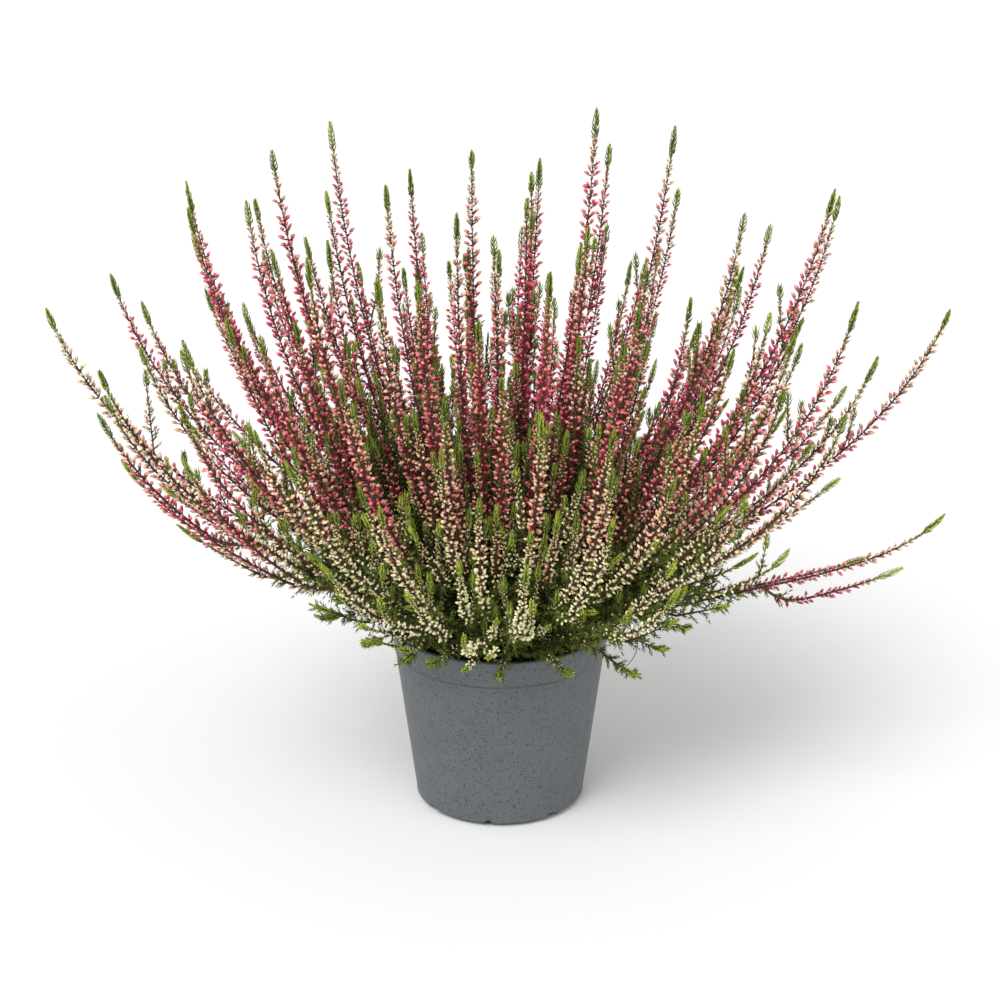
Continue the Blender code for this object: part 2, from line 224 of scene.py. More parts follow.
# Dark leafy shoots without buds, low on the spikes: long in the plant's heart, short at its edge
HEART_WITHIN = 0.62
HEART_SHOOTS = 6
HEART_AT = (0.03, 0.42)
HEART_LENGTH = (0.050, 0.090)
EDGE_SHOOTS = 5
EDGE_AT = (0.03, 0.32)
EDGE_LENGTH = (0.020, 0.038)
LEAFY_GAP = 0.0014
LEAFY_OPEN = 0.85

# The path of a short shoot: how far it goes out, ahead and up, as a slope and a bend of its length
SPRIG_OUT = (0.46, -0.20)
SPRIG_AHEAD = (0.40, -0.16)
SPRIG_UP = (0.30, 0.28)

# Where the sprays are cream and crimson, as shares of the footprint; the rest are pink
CREAM_IN_FRONT_OF = -0.60
CRIMSON_BEHIND = 0.10
CRIMSON_WITHIN = 0.40
FLOWERS_FROM = 0.30
FLOWERS_VARY = 0.05

# Buds: opposite pairs up a spike, each pair turned against the last
LOOKS_SEED = 7
PAIR_GAP = 0.00196
PAIR_GAP_TALL = 0.00200
PAIR_TURN = math.radians(68.75)
YOUNG_SIZE = 0.50
YOUNG_OVER = 0.030
BUD_LEAN = math.radians(56)
YOUNG_LEAN = math.radians(34)
BUD_SIZES = (0.86, 1.12)
BUD_STRETCH = (0.92, 1.08)
BUD_SLIP = 0.00025
BUD_TWIST = 0.30
BUD_TILT = 0.20
LOW_FLOWERS_FROM = 0.55
LOW_IS_SMALLER = 0.20
FRESH_OVER = 0.022
TALL_ABOVE = (0.200, 0.100)

# How ripe buds are, from cream at 0 to crimson at 1: on main spikes, on sprigs and on low sprigs
MAIN_RIPE = 0.68
MAIN_RIPER_BEHIND = 0.20
MAIN_RIPER_INSIDE = 0.12
MAIN_RIPE_VARIES = 0.17
SPRIG_RIPE = 0.20
SPRIG_RIPER_BEHIND = 0.22
SPRIG_RIPER_UP = 0.24
SPRIG_RIPE_VARIES = 0.12
LOW_RIPE = 0.04
LOW_RIPE_VARIES = 0.10
RIPE_MIDDLE = 0.42
CREAM_STRENGTH = 0.72

# Where looks change: a height or a distance, and the stretch that the change takes
SPRIG_RIPER_ABOVE = (0.150, 0.060)
CREAM_BELOW = (0.192, 0.055)
CREAM_BEFORE = (0.035, 0.060)
CREAM_WITHIN = (0.095, 0.045)
LEAFY_BELOW = (0.136, 0.018)
LEAFY_WITHIN = (0.112, 0.025)
SPILL_WITHIN = (0.058, 0.020)
SPILL_BEFORE = (0.0, 0.030)
TIP_DARKER_ABOVE = (0.150, 0.090)
# Leaves are darker towards the plant's heart and low down as painted shade; these say where that painted
# shade fades out.
LEAF_PAINTED_SHADE_ENDS_OUT = (0.040, 0.080)
LEAF_PAINTED_SHADE_ENDS_ABOVE = (0.140, 0.060)
SHOOT_PAINTED_SHADE_ENDS_OUT = (0.030, 0.070)

# The middle of the pale spill of buds over the rim, the most that leaves take the place of buds,
# and where buds are plainer
SPILL_AT = -0.022
LEAFY_MOST = 0.9
INNER_HEIGHT = 0.225
INNER_REACH = 0.084
PLAINER_BEHIND = 0.025

# Leaves: scaly tips, and leafy side shoots on the lower stretch, by kind of spike:
# the gap between shoots, their length, and the size of their leaves
SCALY_TIP = 0.0115
SCALY_TIP_VARIES = (0.70, 1.35)
SPRIG_TIP = 0.54
SCALY_GAP = 0.00105
SCALE_SIZES = (0.92, 1.06)
SHOOTS = {
    "tall": (0.0030, 0.0080, 1.35),
    "short": (0.0026, 0.0074, 1.25),
    "side": (0.0038, 0.0062, 1.15),
    "low": (0.0021, 0.0055, 1.10),
    "sprig": (0.0046, 0.0050, 1.05),
}
SHOOTS_FROM = 0.008
SHOOT_TURN = 1.35
SHOOT_SLIP = 0.0012
SHOOT_TWIST = 0.35
SHOOT_TILT = 0.14
SHOOT_LEAN = math.radians(50)
SHOOT_LENGTHS = (0.7, 1.25)
SHOOT_TAPERS = (0.7, 0.3)
SHOOT_LEAF_GAP = 0.0018
LEAF_LENGTH = 0.0029
LEAF_SIZES = (0.8, 1.15)

# By kind of spike: the share of its buds that are missing, how much riper its lower buds are, and
# the sizes of its scale leaves and of its twig
MISSING = {"tall": 0.05, "side": 0.06, "short": 0.14, "sprig": 0.20, "low": 0.42}
RIPER_BELOW = {"tall": 0.70, "side": 0.70, "short": 0.30, "sprig": 0.30, "low": 0.15}
SCALE_SIZE = {"tall": 1.0, "side": 1.12, "short": 1.0, "sprig": 1.12, "leafy": 1.30, "low": 1.0}
TWIG_SIZE = {"tall": 1.0, "side": 1.0, "short": 0.85, "sprig": 0.6, "leafy": 0.6, "low": 0.7}

# Twigs
TWIG_FOOT_RADIUS = 0.00085
TWIG_END_RADIUS = 0.00030
TWIG_STEP = 0.0065
LEAFY_TWIG_STEPS = 6
LINE_STEPS = 90

# Camera and light: each sun has a name, a place, its width in degrees and its strength
ELEVATION = math.radians(21)
LENS = 100
DISTANCE = 1.36
AIM = Vector((0.0, 0.0, 0.158))
AMBIENT = 0.62
FLOOR_REACH = 12
SUNS = (("key", (-0.9, -1.5, 2.2), 34, 2.1), ("fill", (1.6, -1.2, 1.2), 60, 0.4))


def colour(text):
    """A colour written as six hex digits, as a shader's linear values."""
    shares = [int(text[k:k + 2], 16) / 255 for k in (0, 2, 4)]
    linear = [s / 12.92 if s <= 0.04045 else ((s + 0.055) / 1.055) ** 2.4 for s in shares]
    return (*linear, 1.0)


def smooth(share):
    """Eases a share in and out, held between 0 and 1."""
    share = np.clip(share, 0.0, 1.0)
    return share * share * (3 - 2 * share)


def rising(value, start, over):
    """0 up to a start, and eased up to 1 over a stretch past it."""
    return smooth((value - start) / over)


def falling(value, end, over):
    """1 at first, and eased down to 0 over a stretch before an end."""
    return smooth((end - value) / over)


def mixed(low, high, share):
    """The value a share of the way from low to high."""
    return low + (high - low) * share


def bezier(ends, share):
    """A point on the cubic curve through four control points."""
    a, b, c, d = ends
    rest = 1 - share
    return a * rest ** 3 + b * (3 * rest * rest * share) + c * (3 * rest * share * share) + d * share ** 3


def spike_curve(place, tip):
    """The control points of a spike: it rises from the peat, spreads out low and turns upright."""
    root = Vector((place.x * ROOT_SPREAD, place.y * ROOT_SPREAD, PEAT_TOP))
    span = tip - root
    out = Vector((span.x, span.y, 0.0))
    rise = root + out * RISE_OUT + Vector((0, 0, RISE + RISE_UP * span.z))
    bend = tip - out * BEND_IN - Vector((0, 0, BEND_DOWN * span.z))
    return root, rise, bend, tip


def tip_height(place, dice):
    """How high a spike of the dome reaches: the dome falls towards its edge, least at the sides."""
    end = FRONT_HEIGHT if place.y < 0 else BACK_HEIGHT
    edge = mixed(SIDE_HEIGHT, end, (place.y / place.length) ** 2)
    fall = min(place.length, 1.0) ** DOME_POWER
    return mixed(CROWN_HEIGHT, edge, fall) + dice.uniform(-1, 1) * HEIGHT_VARIES


def sunflower(count):
    """Places spread evenly over a disc of radius 1."""
    for k in range(count):
        turn = k * math.pi * (3 - math.sqrt(5))
        yield Vector((math.cos(turn), math.sin(turn))) * math.sqrt((k + 0.5) / count)


def half_depth(y):
    """The depth of the footprint, less at the front than at the back."""
    return FRONT_DEPTH if y < 0 else BACK_DEPTH


def lay_out():
    """Every spike of the plant, each given to the spray whose stem stands nearest."""
    dice = random.Random(SEED)
    spikes = []
    for tip in CHOSEN_TIPS:
        place = Vector((tip[0] / HALF_WIDTH, tip[1] / half_depth(tip[1])))
        spikes.append(SimpleNamespace(place=place, tip=Vector(tip), kind="tall"))
    for place in sunflower(SPIKES):
        depth = place.y * half_depth(place.y)
        tip = Vector((place.x * HALF_WIDTH, depth, tip_height(place, dice)))
        if all((tip.xy - Vector(other[:2])).length > CLEAR_OF_CHOSEN for other in CHOSEN_TIPS):
            spikes.append(SimpleNamespace(place=place, tip=tip, kind="tall"))
    for k in range(RING):
        turn = 2 * math.pi * (k + dice.uniform(0.4, 0.6)) / RING
        kind = "short" if k % 2 else "low"
        reach, height = (SHORT_REACH, SHORT_HEIGHT) if k % 2 else (LOW_REACH, LOW_HEIGHT)
        place = Vector((math.cos(turn), math.sin(turn)))
        reach *= (1 + dice.uniform(-1, 1) * RING_VARIES) * (1 + RING_WIDER * place.x)
        height += dice.uniform(-1, 1) * RING_HEIGHT_VARIES
        tip = Vector((place.x * reach, place.y * reach, height))
        spikes.append(SimpleNamespace(place=place * RING_ROOT, tip=tip, kind=kind))
    sprays = [SimpleNamespace(place=place, spikes=[]) for place in sunflower(SPRAYS)]
    for spike in spikes:
        spike.curve = spike_curve(spike.place, spike.tip)
        if spike.kind != "tall":
            spike.curve[1].z += RING_LIFT
        spike.sway = Vector((dice.uniform(-1, 1), dice.uniform(-1, 1), 0)) * SWAY
        spike.fork = dice.uniform(FORK_LOW, FORK_HIGH) if spike.kind == "tall" else FORK_LOW
        spike.flowers_from = FLOWERS_FROM + dice.uniform(-1, 1) * FLOWERS_VARY
        spike.turn = dice.uniform(0, 2 * math.pi)
        spike.spray = min(sprays, key=lambda spray: (spray.place - spike.place).length)
        spike.spray.spikes.append(spike)
    for spray in sprays:
        depth = spray.place.y * half_depth(spray.place.y)
        crown = Vector((spray.place.x * HALF_WIDTH, depth, CROWN_HEIGHT))
        spray.curve = spike_curve(spray.place, crown)
    add_side_spikes(spikes, dice, SIDES, False)
    return [spray for spray in sprays if spray.spikes]


def add_side_spikes(spikes, dice, values, from_there):
    """Gives most tall and short spikes a side spike, where there is room for one."""
    trails = [trail(spike) for spike in spikes]
    for number, parent in enumerate(spikes):
        if parent.kind not in ("tall", "short") or dice.random() > values.chance:
            continue
        leaves_at = dice.uniform(*values.leaves_at)
        side = SimpleNamespace(
            kind="side",
            parent=parent,
            leaves_at=leaves_at,
            ends_at=dice.uniform(*values.ends_at) + (leaves_at if from_there else 0.0),
            turn=dice.uniform(0, 2 * math.pi),
            flowers_from=SIDE_FLOWERS_FROM,
            fork=FORK_LOW,
            spray=parent.spray,
            aside=Vector((0, 0, 0)),
        )
        space, side.aside = most_room(side, np.vstack(trails[:number] + trails[number + 1:]))
        if space > values.room:
            trails.append(trail(side))
            side.spray.spikes.append(side)


def most_room(side, others):
    """The way aside from its parent that gives a side spike the most room, and how much that is."""
    middle = trail(side)
    others = others[np.linalg.norm(others[:, :3] - middle[TRAIL_STEPS // 2, :3], axis=1) < SIDE_LOOKS]
    ahead = Vector(middle[-1, :3] - middle[0, :3]).normalized()
    across = ahead.orthogonal().normalized()
    other = across.cross(ahead)
    parted = np.array([parted_by(k / TRAIL_STEPS) for k in range(TRAIL_STEPS + 1)])
    best = -1.0, Vector((0, 0, 0))
    for apart in SIDE_APART:
        for k in range(SIDE_TURNS):
            way = 2 * math.pi * k / SIDE_TURNS
            aside = (across * math.cos(way) + other * math.sin(way)) * apart
            points = middle[:, :3] + parted[:, None] * np.array(aside)
            gaps = np.linalg.norm(points[:, None] - others[None, :, :3], axis=2)
            space = (gaps - middle[:, None, 3] - others[None, :, 3]).min()
            if space > best[0]:
                best = space, aside
    return best


def trail(spike):
    """Points up a spike, each with the spike's radius there, to measure the room beside it."""
    shares = [k / TRAIL_STEPS for k in range(TRAIL_STEPS + 1)]
    points = [spike_point(spike, share) for share in shares]
    length = sum((b - a).length for a, b in zip(points, points[1:]))
    return np.array([(*p, spike_radius(spike, share, length)) for p, share in zip(points, shares)])


def parted_by(share):
    """How far a side spike has parted from its parent, a share of the way up it."""
    return 1 - (1 - min(share / SIDE_PARTED_BY, 1.0)) ** 2


def stem_point(spray, along):
    """A point on a spray's woody stem, measured from the peat."""
    return bezier(spray.curve, along / (spray.curve[3] - spray.curve[0]).length)


def side_point(spike, share):
    """A point on a side spike, which leaves its parent and runs up beside it."""
    on_parent = spike_point(spike.parent, mixed(spike.leaves_at, spike.ends_at, share))
    return on_parent + spike.aside * parted_by(share)


def spike_point(spike, share):
    """A point on a spike: it parts from its spray's stem at the fork and settles on its own curve."""
    if spike.kind == "side":
        return side_point(spike, share)
    length = (spike.tip - spike.curve[0]).length
    along = spike.fork + share * (length - spike.fork)
    own = bezier(spike.curve, along / length) + spike.sway * (along / length) ** 2
    parted = min((along - spike.fork) / SETTLE, 1.0)
    parted = 1 - (1 - parted) ** 2
    return stem_point(spike.spray, along).lerp(own, parted) if parted < 1 else own


def spike_radius(spike, share, length):
    """The radius of a spike over its leaves or buds."""
    leafy = LOW_LEAFY_RADIUS if spike.kind == "low" else LEAFY_RADIUS
    body = mixed(TWIG_RADIUS, leafy, rising(share * length, LEAVES_FROM, LEAVES_OVER))
    if spike.kind != "low":
        body = mixed(body, BUD_RADIUS, rising(share, spike.flowers_from, FLOWERS_OVER))
    left = (1 - share) * length
    return mixed(TIP_RADIUS, body, rising(left, TIP_LENGTH, TIP_TAPER))


def add_more_side_spikes(sprays):
    """Fills the room that is left with more side spikes, of any height."""
    grown = [spike for spray in sprays for spike in spray.spikes]
    add_side_spikes(grown, random.Random(MORE_SEED), MORE_SIDES, True)


def add_short_shoot(kind, parent, places, lengths, dice, spread=1.0):
    """Adds a short shoot that parts from a spike somewhere in a range of shares, to any side."""
    share = dice.uniform(*places)
    length = dice.uniform(*lengths)
    start = spike_point(parent, share)
    ahead = (spike_point(parent, share + 0.02) - start).normalized()
    way = Vector([dice.uniform(-1, 1) for _ in range(3)])
    shoot = SimpleNamespace(
        kind=kind,
        parent=parent,
        start=start,
        ahead=ahead,
        out=(way - ahead * way.dot(ahead)).normalized(),
        spread=spread,
        length=length,
        turn=dice.uniform(0, 2 * math.pi),
        flowers_from=SPRIG_FLOWERS_FROM,
        fork=FORK_LOW,
        spray=parent.spray,
    )
    parent.spray.spikes.append(shoot)


def spikes_of(sprays, *kinds):
    """The spikes of some kinds, spray by spray."""
    return [spike for spray in sprays for spike in spray.spikes if spike.kind in kinds]


def add_sprigs(sprays):
    """Short shoots with buds of their own, most of them at the front."""
    dice = random.Random(MORE_SEED + 1)
    for parent in spikes_of(sprays, "tall", "short"):
        front = 0.5 - 0.5 * max(-1.0, min(parent.place.y, 1.0))
        for _ in range(round(mixed(SPRIGS_AT_BACK, SPRIGS_AT_FRONT, front))):
            add_short_shoot("sprig", parent, SPRIGS_AT, SPRIG_LENGTH, dice)


def add_leafy_shoots(sprays):
    """Dark shoots that carry leaves alone."""
    dice = random.Random(MORE_SEED + 2)
    for parent in spikes_of(sprays, "tall", "short"):
        if parent.place.length < HEART_WITHIN:
            shoots, places, lengths = HEART_SHOOTS, HEART_AT, HEART_LENGTH
        else:
            shoots, places, lengths = EDGE_SHOOTS, EDGE_AT, EDGE_LENGTH
        for _ in range(shoots):
            add_short_shoot("leafy", parent, places, lengths, dice)


def add_upper_sprigs(sprays):
    """Short shoots with buds on the upper stretch of the high spikes."""
    dice = random.Random(MORE_SEED + 3)
    for parent in spikes_of(sprays, "tall"):
        for _ in range(UPPER_SPRIGS if parent.tip.z > UPPER_ABOVE else 0):
            add_short_shoot("sprig", parent, UPPER_AT, UPPER_LENGTH, dice, UPPER_SPREAD)


def bent(path, share):
    """How far a path has gone: the first of its two values is its slope, and the second its bend."""
    return path[0] * share + path[1] * share * share


def sprig_point(sprig, share):
    """A point on a short shoot, which parts from its spike and turns upward."""
    out = sprig.out * bent(SPRIG_OUT, share) * sprig.spread
    ahead = sprig.ahead * bent(SPRIG_AHEAD, share)
    upward = Vector((0, 0, bent(SPRIG_UP, share)))
    return sprig.start + (out + ahead + upward) * sprig.length


def line_of(spike):
    """The line that a spike grows along."""
    point = sprig_point if spike.kind in ("sprig", "leafy") else spike_point
    return line_through([point(spike, k / LINE_STEPS) for k in range(LINE_STEPS + 1)])


def spray_finish(spray):
    """Low front sprays are cream, the tall ones pink, and the inner and back ones crimson."""
    if spray.place.y < CREAM_IN_FRONT_OF:
        return "spray_cream"
    if spray.place.y > CRIMSON_BEHIND or spray.place.length < CRIMSON_WITHIN:
        return "spray_crimson"
    return "spray_pink"


def unit(vectors):
    """The vectors at length 1."""
    return vectors / np.maximum(np.linalg.norm(vectors, axis=-1, keepdims=True), 1e-12)


def distance_out(at):
    """How far places are from the plant's upright middle."""
    return np.linalg.norm(at[:, :2], axis=1)


def line_through(points):
    """A line that plants grow along: its points, the way run to each, and its directions."""
    points = np.array([tuple(p) for p in points])
    steps = np.linalg.norm(np.diff(points, axis=0), axis=1)
    steady = Vector(points[-1] - points[0]).orthogonal().normalized()
    run = np.concatenate(([0.0], np.cumsum(steps)))
    ahead = unit(np.gradient(points, axis=0))
    return SimpleNamespace(points=points, run=run, length=run[-1], ahead=ahead, steady=np.array(steady))


def on_line(line, where):
    """Places on a line, each with its direction ahead and the two across it."""
    at = np.stack([np.interp(where, line.run, line.points[:, k]) for k in range(3)], axis=1)
    ahead = unit(np.stack([np.interp(where, line.run, line.ahead[:, k]) for k in range(3)], axis=1))
    across = unit(np.cross(ahead, line.steady))
    return at, ahead, across, np.cross(across, ahead)


def around(line, where, turns):
    """Places on a line, each with the way ahead, the way out to its turn, and the way aside."""
    at, ahead, across, other = on_line(line, where)
    out = across * np.cos(turns)[:, None] + other * np.sin(turns)[:, None]
    return at, ahead, out, unit(np.cross(ahead, out))


def leaning(ahead, out, lean):
    """The ways that lean out from ahead by an angle."""
    return ahead * np.cos(lean)[:, None] + out * np.sin(lean)[:, None]


def in_pairs(places, turn, step):
    """Each place twice, with turns on opposite sides, each pair a step further round than the last."""
    turns = turn + np.arange(len(places)) * step
    return np.repeat(places, 2), np.repeat(turns, 2) + np.tile((0, math.pi), len(turns))


def spindle(profile, sides, flat=1.0):
    """A small turned shape of triangles from (height, radius) pairs, open where an end has a radius."""
    points = []
    rings = []
    for height, radius in profile:
        first = len(points)
        count = sides if radius > 0 else 1
        for k in range(count):
            turn = 2 * math.pi * k / sides
            points.append((radius * math.sin(turn), -radius * flat * math.cos(turn), height))
        rings.append((first, count))
    faces = []
    for (low, low_count), (high, high_count) in zip(rings, rings[1:]):
        for k in range(sides):
            after = (k + 1) % sides
            if low_count > 1:
                faces.append((low + k, low + after, high + (after if high_count > 1 else 0)))
            if high_count > 1:
                faces.append((low + (k if low_count > 1 else 0), high + after, high + k))
    points = np.array(points)
    span = points[:, 2] - points[:, 2].min()
    return SimpleNamespace(points=points, faces=np.array(faces), along=span / span.max())


class Growth:
    """Points and triangles that grow into one mesh, with a named shade at every point."""

    def __init__(self, *shades):
        self.points = []
        self.faces = []
        self.shades = {shade: [] for shade in shades}
        self.count = 0

    def add(self, points, faces, shades):
        """Adds points, their triangles, and those of the shades that this growth holds."""
        self.points.append(points)
        self.faces.append(faces + self.count)
        for name, held in self.shades.items():
            held.append(shades[name])
        self.count += len(points)

    def add_copies(self, shape, at, side, axis, size, **shades):
        """Adds copies of a small shape, each set at its place with its own size and shades."""
        frames = np.stack((side, np.cross(axis, side), axis), axis=2)
        size = size if size.ndim > 1 else size[:, None]
        local = shape.points[None] * size[:, None, :]
        points = np.einsum("nij,nmj->nmi", frames, local) + at[:, None, :]
        each = len(shape.points)
        faces = shape.faces[None] + (np.arange(len(at)) * each)[:, None, None]
        spread = {key: np.repeat(np.broadcast_to(value, len(at)), each) for key, value in shades.items()}
        spread["along"] = np.tile(shape.along, len(at))
        self.add(points.reshape(-1, 3), faces.reshape(-1, 3), spread)

    def add_tube(self, at, across, other, radii, sides, **shades):
        """Adds a tube along places, closed by a fan at its far end."""
        turns = (2 * np.pi * np.arange(sides) / sides)[None, :, None]
        ring = across[:, None] * np.cos(turns) + other[:, None] * np.sin(turns)
        points = (at[:, None] + ring * radii[:, None, None]).reshape(-1, 3)
        points = np.vstack((points, at[-1:]))
        k = np.arange(sides)
        after = (k + 1) % sides
        low = (np.arange(len(at) - 1) * sides)[:, None]
        high = low + sides
        first = np.stack((low + k, high + k, low + after), axis=2)
        second = np.stack((high + k, high + after, low + after), axis=2)
        last = (len(at) - 1) * sides
        cap = np.stack((last + k, np.full(sides, len(points) - 1), last + after), axis=1)
        faces = np.vstack((first.reshape(-1, 3), second.reshape(-1, 3), cap))
        spread = {}
        for name, value in shades.items():
            value = np.broadcast_to(value, len(at))
            spread[name] = np.append(np.repeat(value, sides), value[-1])
        self.add(points, faces, spread)

    def mesh(self, name):
        """The mesh of all that was added."""
        made = bpy.data.meshes.new(name)
        points = np.clip(np.vstack(self.points), cad_box[0], cad_box[1])
        made.from_pydata(points, [], np.vstack(self.faces))
        for shade, held in self.shades.items():
            layer = made.attributes.new(shade, "FLOAT", "POINT")
            layer.data.foreach_set("value", np.concatenate(held).astype(np.float32))
        made.shade_smooth()
        made.update()
        return made


def add_piece(name, mesh, material, slot, *nodes):
    """Puts a finished mesh in the scene, riding on the plant's one body."""
    mesh.materials.append(material)
    piece = bpy.data.objects.new(name, mesh)
    bpy.context.scene.collection.objects.link(piece)
    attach(piece, "root")
    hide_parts(*nodes)


def mesh_of(shape, name):
    """The mesh of a finished shape."""
    mesh = bpy.data.meshes.new(name)
    shape.to_mesh(mesh)
    shape.free()
    return mesh


# Small shapes, in metres: x is to the side, y is up and in to the stem, z is along
MM = 0.001
BUD = spindle([(1.3 * MM, 0), (2.5 * MM, 0.84 * MM), (3.8 * MM, 0.78 * MM), (4.8 * MM, 0)], 4)
INNER_BUD = spindle([(1.3 * MM, 0), (3.1 * MM, 0.92 * MM), (4.8 * MM, 0)], 4)
BRACT = spindle([(0.0, 0.85 * MM), (3.2 * MM, 0)], 3, 0.75)
SCALE = spindle([(0.0, 0.25 * MM), (1.0 * MM, 0.62 * MM), (LEAF_LENGTH, 0)], 3, 0.62)
LEAF = spindle([(0.0, 0.56 * MM), (LEAF_LENGTH, 0)], 3, 0.55)
STALK = spindle([(0.0, 0.36 * MM), (1.0, 0)], 3)


def main_spike(spike):
    """The spike that a side spike or a short shoot parts from, or the spike itself."""
    return spike.parent if spike.kind in ("side", "sprig") else spike


def bud_ripeness(spike, dice):
    """How far the colour of a spike has turned, from cream at 0 to deep crimson at 1."""
    main = main_spike(spike)
    if main.kind == "low":
        return LOW_RIPE + dice.uniform(-LOW_RIPE_VARIES, LOW_RIPE_VARIES)
    if main.kind == "short" or spike.kind == "sprig":
        up = rising(spike.start.z, *SPRIG_RIPER_ABOVE) if spike.kind == "sprig" else 0.0
        ripe = SPRIG_RIPE + SPRIG_RIPER_BEHIND * main.place.y + SPRIG_RIPER_UP * up
        return ripe + dice.uniform(-SPRIG_RIPE_VARIES, SPRIG_RIPE_VARIES)
    ripe = MAIN_RIPE + MAIN_RIPER_BEHIND * main.place.y + MAIN_RIPER_INSIDE * (1 - abs(main.place.x))
    return ripe + dice.uniform(-MAIN_RIPE_VARIES, MAIN_RIPE_VARIES)


def scaly_tip(spike):
    """The length of a spike's green tip, uneven from spike to spike and shorter on the short shoots."""
    uneven = mixed(*SCALY_TIP_VARIES, spike.turn / (2 * math.pi))
    return SCALY_TIP * uneven * (SPRIG_TIP if spike.kind == "sprig" else 1.0)


def leafy_share(at):
    """How far leaves take the place of buds: low down, but not at the front or far out."""
    front = falling(np.abs(at[:, 0] - SPILL_AT), *SPILL_WITHIN) * falling(at[:, 1], *SPILL_BEFORE)
    far_out = rising(distance_out(at), *LEAFY_WITHIN)
    return LEAFY_MOST * falling(at[:, 2], *LEAFY_BELOW) * (1 - front) * (1 - far_out)


def pair_places(spike, line):
    """Where the pairs of buds sit up a spike: they stand closer where they are young, under the tip."""
    top = line.length - scaly_tip(spike) * 0.92
    bare = line.length * (LOW_FLOWERS_FROM if spike.kind == "low" else spike.flowers_from - 0.03)
    gap = mixed(PAIR_GAP, PAIR_GAP_TALL, rising(line.points[-1, 2], *TALL_ABOVE))
    where = top
    places = []
    while where > bare:
        places.append(where)
        where -= gap * mixed(YOUNG_SIZE, 1.0, falling(where, top, YOUNG_OVER))
    return np.array(places[::-1]), top, bare


def grow_buds(buds, spike, line, dice):
    """The pairs of buds of a spike, each bud on a stalk with a small green bract under it."""
    places, top, bare = pair_places(spike, line)
    where, turns = in_pairs(places, spike.turn, PAIR_TURN)
    missing = np.maximum(MISSING[spike.kind], leafy_share(on_line(line, where)[0]))
    kept = dice.random(len(where)) > missing
    count = kept.sum()
    where = where[kept] + dice.normal(0, BUD_SLIP, count)
    turns = turns[kept] + dice.normal(0, BUD_TWIST, count)
    at, ahead, out, side = around(line, where, turns)
    age = falling(where, top, YOUNG_OVER)
    axis = leaning(ahead, out, mixed(YOUNG_LEAN, BUD_LEAN, age) + dice.normal(0, BUD_TILT, count))
    low = falling(at[:, 2], *CREAM_BELOW) * falling(at[:, 1], *CREAM_BEFORE)
    size = mixed(YOUNG_SIZE, 1.0, age) * dice.uniform(*BUD_SIZES, count) * (1 - LOW_IS_SMALLER * low)
    size = np.stack((size, size, size * dice.uniform(*BUD_STRETCH, count)), axis=1)
    share = (where - bare) / (top - bare)
    low = low * (1 - rising(np.abs(at[:, 0]), *CREAM_WITHIN))
    ripe = bud_ripeness(spike, dice) + RIPER_BELOW[spike.kind] * (RIPE_MIDDLE - share)
    ripe = ripe - CREAM_STRENGTH * low + dice.normal(0, 0.08, count)
    fresh = 0.85 * (1 - falling(where, top, FRESH_OVER)) + dice.uniform(0, 0.12, count)
    shades = {"ripe": ripe, "fresh": fresh, "tone": dice.uniform(0.0, 1.0, count)}
    plain = (at[:, 2] < INNER_HEIGHT) & (distance_out(at) < INNER_REACH)
    plain = plain | (at[:, 1] > PLAINER_BEHIND) | (spike.kind == "sprig")
    for shape, these in ((BUD, ~plain), (INNER_BUD, plain)):
        placed = [held[these] for held in (at, side, axis, size)]
        buds.add_copies(shape, *placed, part=1.0, **{name: held[these] for name, held in shades.items()})
    under = unit(axis - np.cross(axis, side) * 0.25)
    buds.add_copies(BRACT, at - ahead * 0.0003, side, under, size, part=0.0, **shades)


def grow_tip(leaves, spike, line, dice):
    """The scale leaves of a spike's green tip, or of a whole leafy shoot: pairs that close to a point."""
    leafy = spike.kind == "leafy"
    tip = line.length * 0.9 if leafy else scaly_tip(spike)
    gap = LEAFY_GAP if leafy else SCALY_GAP
    places = line.length - 0.0024 - np.arange(int(tip / gap)) * gap
    where, turns = in_pairs(places, spike.turn, math.pi / 2)
    count = len(where)
    turns = turns + dice.normal(0, 0.15, count)
    down = (line.length - where) / tip
    at, ahead, out, side = around(line, where, turns)
    lean = mixed(0.05, LEAFY_OPEN, smooth(down * 4)) if leafy else mixed(0.05, 0.36, down)
    axis = leaning(ahead, out, lean + dice.normal(0, 0.15 if leafy else 0.04, count))
    size = mixed(0.70, 1.20, smooth(down * 1.8)) * dice.uniform(*SCALE_SIZES, count)
    at = at + out * (0.0002 + 0.0006 * smooth(down * 1.5)[:, None])
    fresh = 0.52 + 0.30 * (1 - down) + dice.normal(0, 0.06, count)
    low_tip = 0.12 if spike.kind == "sprig" else 0.26
    fresh = fresh + low_tip * (1 - rising(line.points[-1, 2], *TIP_DARKER_ABOVE)) + dice.normal(0, 0.07)
    if leafy:
        # The leaves of leafy shoots are darker towards the plant's heart and low down: painted shade.
        outer = np.maximum(rising(distance_out(at), *LEAF_PAINTED_SHADE_ENDS_OUT), rising(at[:, 2], *LEAF_PAINTED_SHADE_ENDS_ABOVE))
        fresh = mixed(0.02, 0.34, outer) + 0.3 * (1 - down) ** 4 + dice.normal(0, 0.06, count)
    shape = SCALE if spike.kind in ("tall", "short", "low") else LEAF
    tone = dice.uniform(0, 1, count)
    leaves.add_copies(shape, at, side, axis, size * SCALE_SIZE[spike.kind], fresh=fresh, tone=tone)


